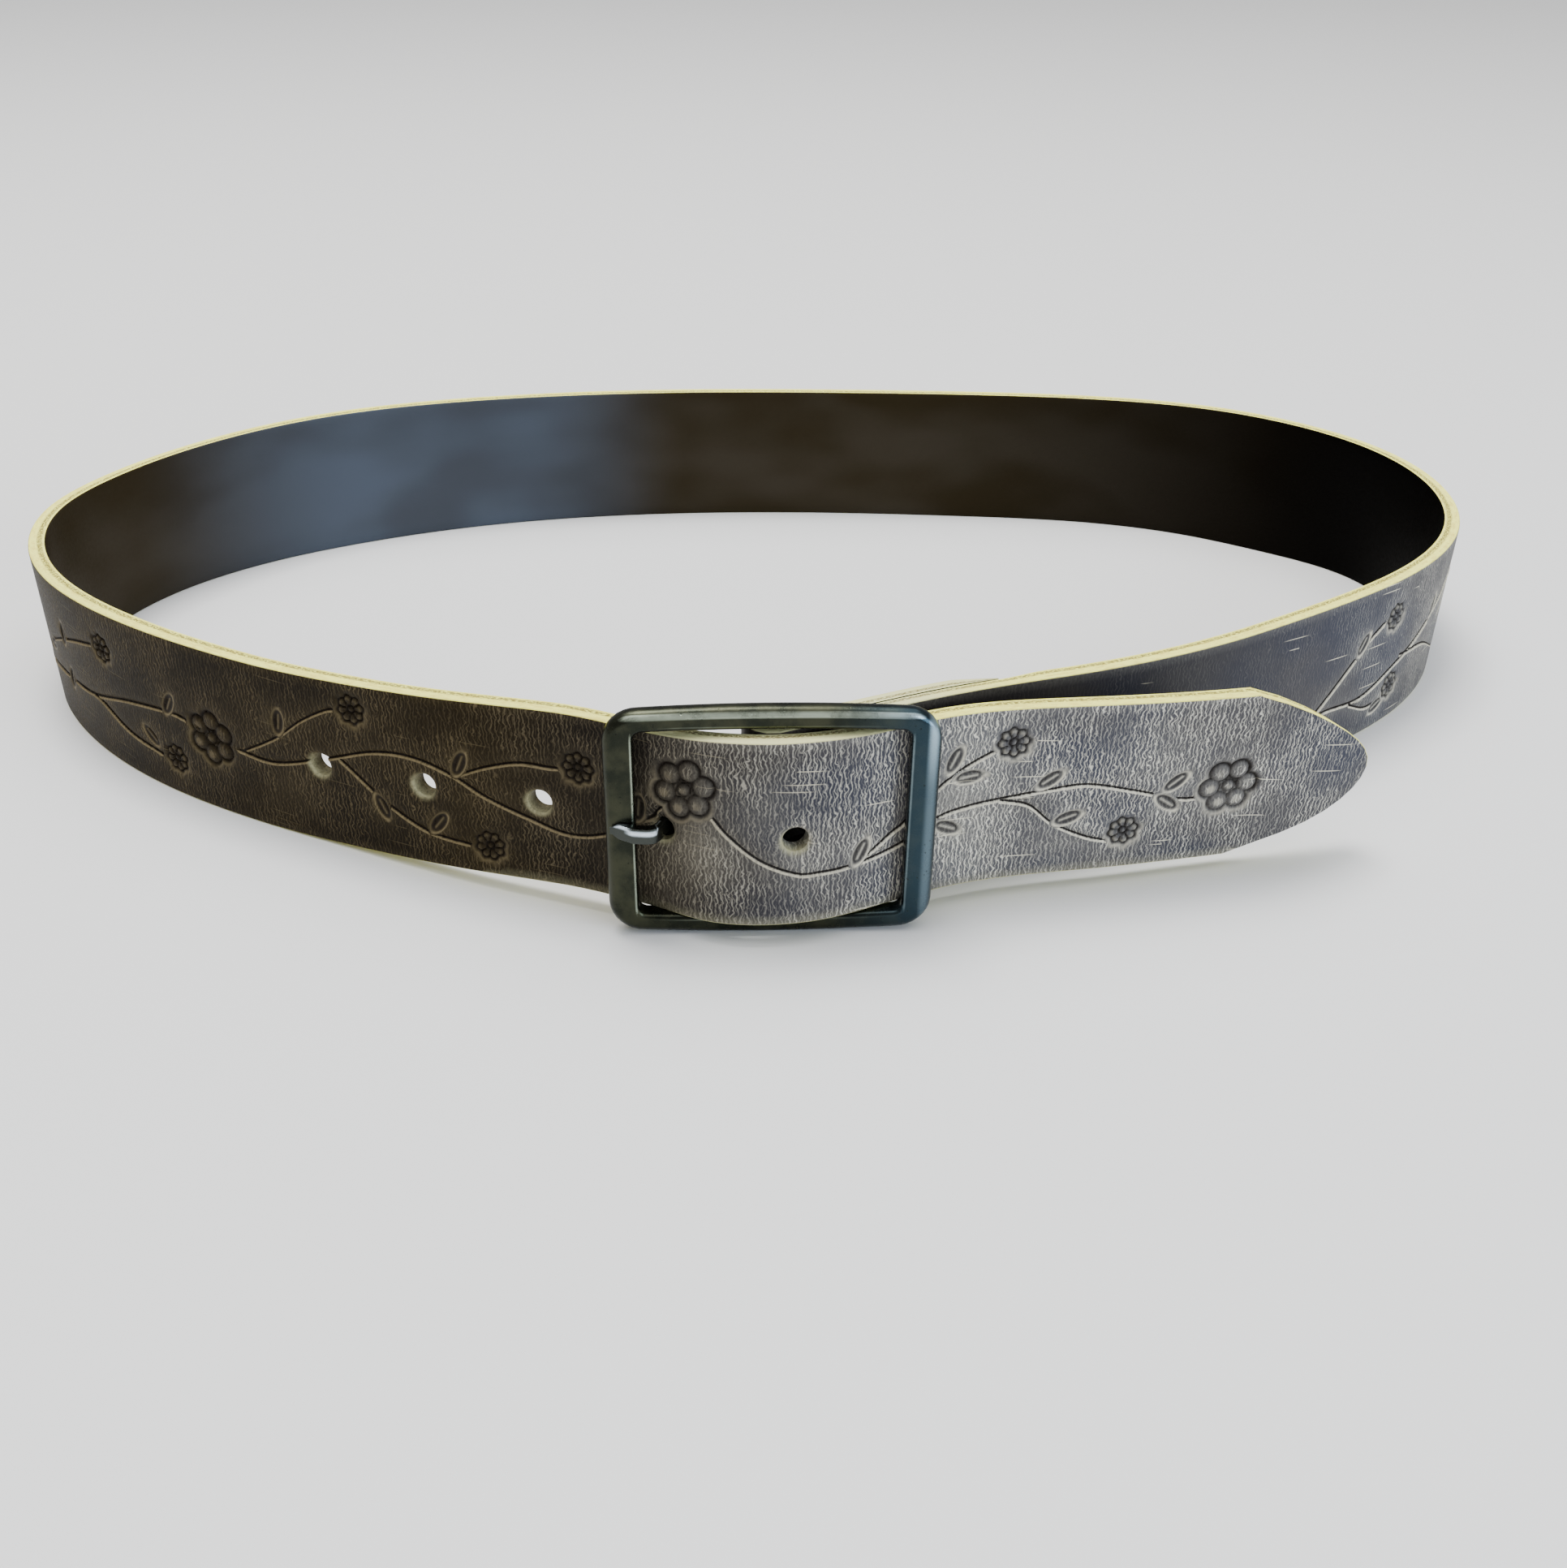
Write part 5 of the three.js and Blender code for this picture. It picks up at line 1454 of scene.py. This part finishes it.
def prong_shank(slant):
    """The shank: a strip laid along the prong's line, thickened, with a slanted end."""
    line = prong_line()
    travelled = np.concatenate([[0], np.cumsum(np.hypot(*np.diff(line, axis=0).T))])
    bpy.ops.mesh.primitive_grid_add(x_subdivisions=PRONG_CELLS[0], y_subdivisions=PRONG_CELLS[1], size=1)
    shank = named("worn_and_glinting_prong")
    flat = read_points(shank.data)
    spot = (flat[:, 0] + 0.5) * travelled[-1]
    keep = np.clip((travelled[-1] - spot) / slant, 0.1, 1)
    nearest = np.minimum(np.searchsorted(travelled, spot), len(line) - 1)
    before_hole = line[nearest, 1] > BAR_SETBACK - WIDER_FROM
    end_share, gained = SHANK_TAPER
    half_width = PRONG_WIDTH / 2 * (end_share + gained * smooth(keep / end_share))
    half_width = half_width + PRONG_WIDER * before_hole
    x, y = (np.interp(spot, travelled, line[:, k]) for k in (0, 1))
    level = PRONG_LEVEL + PRONG_RISE * smooth((-x - HOLE_FROM_BAR) / (BUCKLE_HALF - HOLE_FROM_BAR))
    level = level - WIDER_DOWN * PRONG_WIDER * before_hole
    write_points(shank.data, np.stack([x, y, level + 2 * flat[:, 1] * half_width], 1))
    apply_modifier(shank, "SOLIDIFY", thickness=PRONG_THICKNESS, offset=0, use_even_offset=True)
    points = read_points(shank.data)
    order = np.argsort(line[:, 0])
    middle = np.interp(points[:, 0], line[order, 0], line[order, 1])
    keep = np.clip((points[:, 0] - line[-1, 0]) / slant, 0.12, 1)
    in_front = points[:, 1] < middle
    slanted = middle + PRONG_THICKNESS / 2 * (1 - 2 * keep)
    points[:, 1] = np.where(in_front, np.maximum(points[:, 1], slanted), points[:, 1])
    write_points(shank.data, points)
    limit = {"limit_method": "ANGLE", "angle_limit": math.radians(50)}
    apply_modifier(shank, "BEVEL", width=PRONG_EASED, segments=3, **limit)
    return shank


def prong_places(points, slant):
    """Height over the prong's middle, from -1 to 1, and how far a point is on its slanted end; from the hole
    back to the bar the height is held at -1, which keeps the painted highlight off that part.
    """
    rise = PRONG_RISE * smooth((-points[:, 0] - HOLE_FROM_BAR) / (BUCKLE_HALF - HOLE_FROM_BAR))
    height = (points[:, 2] - PRONG_LEVEL - rise) / (PRONG_WIDTH / 2)
    height = np.where(points[:, 0] > -HOLE_FROM_BAR + 0.3 * MM, -1, height)
    return height, smooth((slant - BUCKLE_HALF - points[:, 0]) / (0.3 * slant) + 0.5)


def length_setting(name, description, default):
    """A length that the panel shows."""
    return bpy.props.FloatProperty(name=name, description=description, default=default, unit="LENGTH")


def colour_setting(name, description, default):
    """A colour that the panel shows."""
    return bpy.props.FloatVectorProperty(
        name=name, description=description, subtype="COLOR", size=3, min=0, max=1, default=default
    )


class BeltLook(bpy.types.PropertyGroup):
    """Colours and finish of the belt and the floor."""

    grain_dark: colour_setting("Dark grain", "The oiled outer face", (0.0065, 0.0038, 0.0007))
    grain_brown: colour_setting("Brown grain", "Its lighter clouds", (0.012, 0.0074, 0.0016))
    # The violet and grey grain colours: the greyer leather towards the right, partly its own tone and partly
    # painted cool sheen
    grain_violet_sheen: colour_setting("Violet grain", "The greyer leather at the buckle", (0.043, 0.045, 0.062))
    grain_ash: colour_setting("Ash grain", "Its browner clouds", (0.065, 0.062, 0.067))
    grain_tan: colour_setting("Rubbed grain", "Where the dark finish is rubbed off", (0.08, 0.06, 0.028))
    grain_crease: colour_setting("Creases", "Creases of the dark leather", (0.105, 0.08, 0.042))
    # Light creases: the creases and rubbed tan under the painted cool sheen
    grain_cream_sheen: colour_setting("Light creases", "Creases of the greyer leather", (0.74, 0.71, 0.61))
    # Rims: partly burnished, partly painted highlight; also the colour of the scratches
    grain_rim: colour_setting("Rims", "Light lines beside the cuts", (0.2, 0.155, 0.08))
    # Light rims: the rims under the painted cool sheen, themselves partly painted highlight
    grain_light_sheen: colour_setting("Light rims", "The same in the greyer leather", (0.75, 0.7, 0.55))
    # Pale leather: worn-off finish, and painted light on the lower left rims of the holes
    grain_bare: colour_setting("Bare leather", "Where the finish is gone at the holes", (0.36, 0.34, 0.2))
    # Cuts: the painted shade in the stem cuts and the stamps
    grain_cut_shade: colour_setting("Cuts", "The dark bottoms of the cuts", (0.008, 0.0055, 0.0045))
    flesh_dark: colour_setting("Dark inner face", "The inner face", (0.0215, 0.0155, 0.007))
    flesh_light: colour_setting("Light inner face", "Its lighter clouds", (0.034, 0.0275, 0.0185))
    # The bluish colour is painted sheen on the inner face, and the black one painted shade on it at the
    # right
    flesh_sheen: colour_setting("Bloom", "The bluish bloom of the inner face", (0.066, 0.08, 0.105))
    flesh_shaded: colour_setting("Black inner face", "The inner face at the right", (0.0008, 0.0005, 0.0002))
    edge_pale: colour_setting("Pale edge", "The raw cut edge", (1.0, 0.97, 0.24))
    edge_tan: colour_setting("Tan edge", "Its darker clumps", (0.82, 0.73, 0.17))
    # The duller edge colour is painted shade at the buckle and the fold
    edge_shaded: colour_setting("Sheltered edge", "The cut edge at the buckle", (0.72, 0.7, 0.36))
    edge_dark: colour_setting("Dark edge", "The dirty line near the inner face", (0.13, 0.1, 0.03))
    metal_dark: colour_setting("Dark casting", "The antiqued buckle", (0.015, 0.0175, 0.0125))
    metal_olive: colour_setting("Olive casting", "Its browner clouds", (0.036, 0.038, 0.024))
    # Bright casting: rubbed metal and painted highlight
    metal_rubbed_and_glint: colour_setting("Bright casting", "Where it is rubbed", (0.62, 0.7, 0.55))
    # The bluish colour of the right side is painted sheen, and the bright blue a painted highlight, also
    # where it is rubbed
    metal_blue_sheen: colour_setting("Blue casting", "The bluish finish of its right side", (0.02, 0.043, 0.062))
    metal_sky_rubbed_and_glint: colour_setting("Bright blue casting", "The same where it is rubbed", (0.5, 0.68, 0.8))
    # Bright steel: rubbed streaks and painted highlight
    steel_dark: colour_setting("Dark steel", "The prong", (0.045, 0.05, 0.045))
    steel_rubbed_and_glint: colour_setting("Bright steel", "Its rubbed streaks", (0.66, 0.76, 0.84))
    floor_colour: colour_setting("Floor", "The plain floor", (0.69, 0.69, 0.69))
    crease_strength: bpy.props.FloatProperty(
        name="Crease strength", description="How clearly the creases show", default=0.72
    )
    grain_relief: bpy.props.FloatProperty(
        name="Grain relief", description="Strength of the grain's bump", default=0.6
    )
    casting_round: length_setting("Casting round", "Rounding of the buckle's outer edges", 1.9 * MM)
    window_round: length_setting("Window round", "Rounding of the buckle's inner edges", 1.0 * MM)
    prong_slant: length_setting("Prong slant", "Length of the slanted end of the prong", 4.2 * MM)


class AddStrap(bpy.types.Operator):
    """Adds the carved strap with its holes, bent round its route"""

    bl_idname = "belt.add_strap"
    bl_label = "Strap"

    def execute(self, context):
        look = context.scene.belt_look
        carving = Carving()
        strap = flat_strap()
        creases = crease_group()
        for leather in (grain_leather(look, creases, scratch_group()), flesh_leather(look), raw_edge(look)):
            strap.data.materials.append(leather)
        cut_openings(strap)
        thicken(strap)
        refine_carved(strap, carving)
        press_and_mark(strap, carving)
        bend_to_route(strap)
        shade(strap, 40)
        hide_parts("strap")
        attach(strap, "root")
        return {"FINISHED"}


class AddBuckle(bpy.types.Operator):
    """Adds the cast buckle, its prong and the rivets of the fold"""

    bl_idname = "belt.add_buckle"
    bl_label = "Buckle, prong and rivets"

    def execute(self, context):
        look = context.scene.belt_look
        pitting = pitting_group()
        casting = cast_metal(look, pitting)
        ring = buckle_ring(look)
        for at_top in (False, True):
            unite(ring, lug(at_top))
        end = LUG_INNER - LUG_END_HEIGHT / 2
        unite(ring, rod(BAR_RADIUS, end, BUCKLE_HEIGHT - end))
        to_crest, to_window = rubbed_and_glint_lines(read_points(ring.data))
        add_shares(ring.data, "to_crest", to_crest)
        add_shares(ring.data, "to_window", to_window)
        move_to_buckle(ring)
        shade(ring, 40)
        ring.data.materials.append(casting)
        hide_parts("buckle_frame")
        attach(ring, "root")
        self.add_prong(look, pitting)
        for side in ("near", "far"):
            self.add_rivet(side, casting)
        return {"FINISHED"}

    @staticmethod
    def add_prong(look, pitting):
        """The prong with its eye round the bar."""
        shank = prong_shank(look.prong_slant)
        low, high = PRONG_LEVEL - PRONG_WIDTH / 2, PRONG_LEVEL + PRONG_WIDTH / 2
        unite(shank, rod(BAR_RADIUS + GAP + PRONG_RING_WALL, low, high))
        unite(shank, rod(BAR_RADIUS + GAP, low - PRONG_WIDTH, high + PRONG_WIDTH), "DIFFERENCE")
        height, on_slant = prong_places(read_points(shank.data), look.prong_slant)
        add_shares(shank.data, "height", height)
        add_shares(shank.data, "on_slant", on_slant)
        move_to_buckle(shank)
        shade(shank, 35)
        shank.data.materials.append(steel_worn_and_glint(look, pitting))
        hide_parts("prong")
        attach(shank, "root")

    @staticmethod
    def add_rivet(side, casting):
        """A rivet of the fold: a post with a domed cap at each end."""
        node = "fold_rivet_" + side
        low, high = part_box(node)
        seat = FOLD_THICKNESS + GAP / 2 + GAP
        made = rod(RIVET_POST, -seat - CAP_OVERLAP, seat + CAP_OVERLAP, 0, 0, 24)
        for end in (-1, 1):
            bpy.ops.mesh.primitive_uv_sphere_add(segments=32, ring_count=16, radius=RIVET_CAP)
            cap = named("cap")
            points = read_points(cap.data)
            flat = points[:, 2] * end < 0
            points[:, 2] = np.where(flat, 0, points[:, 2] * CAP_DOME) + end * seat
            write_points(cap.data, points)
            unite(made, cap)
        made.name = made.data.name = "domed_rivet_" + side
        turn = Matrix.Rotation(LEG_ANGLE, 4, "Z") @ Matrix.Rotation(math.pi / 2, 4, "X")
        made.data.transform(Matrix.Translation((low + high) / 2) @ turn)
        for name in ("to_crest", "to_window"):
            add_shares(made.data, name, np.ones(len(made.data.vertices)))
        shade(made, 40)
        made.data.materials.append(casting)
        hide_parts(node)
        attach(made, "root")


class AddStudio(bpy.types.Operator):
    """Adds the pale floor, the soft lights and the camera"""

    bl_idname = "belt.add_studio"
    bl_label = "Floor, lights and camera"

    def execute(self, context):
        look = context.scene.belt_look
        bpy.ops.mesh.primitive_plane_add(size=FLOOR_SIZE)
        floor = named("pale_floor")
        floor.data.materials.append(floor_paint(look))
        world = context.scene.world or bpy.data.worlds.new("studio")
        context.scene.world = world
        world.use_nodes = True
        background = world.node_tree.nodes["Background"]
        background.inputs["Color"].default_value = (1, 1, 1, 1)
        background.inputs["Strength"].default_value = WORLD_STRENGTH
        for name, place, size, watts, colour in LIGHTS:
            bpy.ops.object.light_add(type="AREA", location=place)
            light = bpy.context.object
            light.name = light.data.name = name
            light.data.shape = "RECTANGLE"
            light.data.size, light.data.size_y = size
            light.data.energy = watts
            light.data.color = colour
            light.rotation_euler = (LIGHT_AIM - Vector(place)).to_track_quat("-Z", "Y").to_euler()
        bpy.ops.object.camera_add(location=BUCKLE_PLACE + Vector(CAMERA_PLACE) * MM)
        camera = bpy.context.object
        camera.name = camera.data.name = "photo_camera"
        turn = Matrix.Rotation(math.radians(-CAMERA_TURN), 3, "Z")
        tilt = Matrix.Rotation(math.radians(90 - CAMERA_PITCH), 3, "X")
        roll = Matrix.Rotation(math.radians(CAMERA_ROLL), 3, "Z")
        camera.rotation_euler = (turn @ tilt @ roll).to_euler()
        camera.data.lens = CAMERA_LENS
        camera.data.sensor_width = CAMERA_SENSOR
        camera.data.clip_start, camera.data.clip_end = CAMERA_CLIP
        context.scene.camera = camera
        return {"FINISHED"}


class BeltPanel(bpy.types.Panel):
    """Buttons for the belt"""

    bl_idname = "VIEW3D_PT_belt"
    bl_label = "Belt"
    bl_space_type = "VIEW_3D"
    bl_region_type = "UI"
    bl_category = "Belt"

    def draw(self, context):
        for operator in (AddStrap, AddBuckle, AddStudio):
            self.layout.operator(operator.bl_idname)
        for name in BeltLook.__annotations__:
            self.layout.prop(context.scene.belt_look, name)


CLASSES = (BeltLook, AddStrap, AddBuckle, AddStudio, BeltPanel)


def register():
    """Registers the add-on."""
    for made in CLASSES:
        bpy.utils.register_class(made)
    bpy.types.Scene.belt_look = bpy.props.PointerProperty(type=BeltLook)


def unregister():
    """Takes the add-on away."""
    del bpy.types.Scene.belt_look
    for made in reversed(CLASSES):
        bpy.utils.unregister_class(made)


def main():
    """Builds the belt and its studio."""
    register()
    bpy.ops.belt.add_studio()
    bpy.ops.belt.add_strap()
    bpy.ops.belt.add_buckle()


if __name__ == "__main__":
    main()
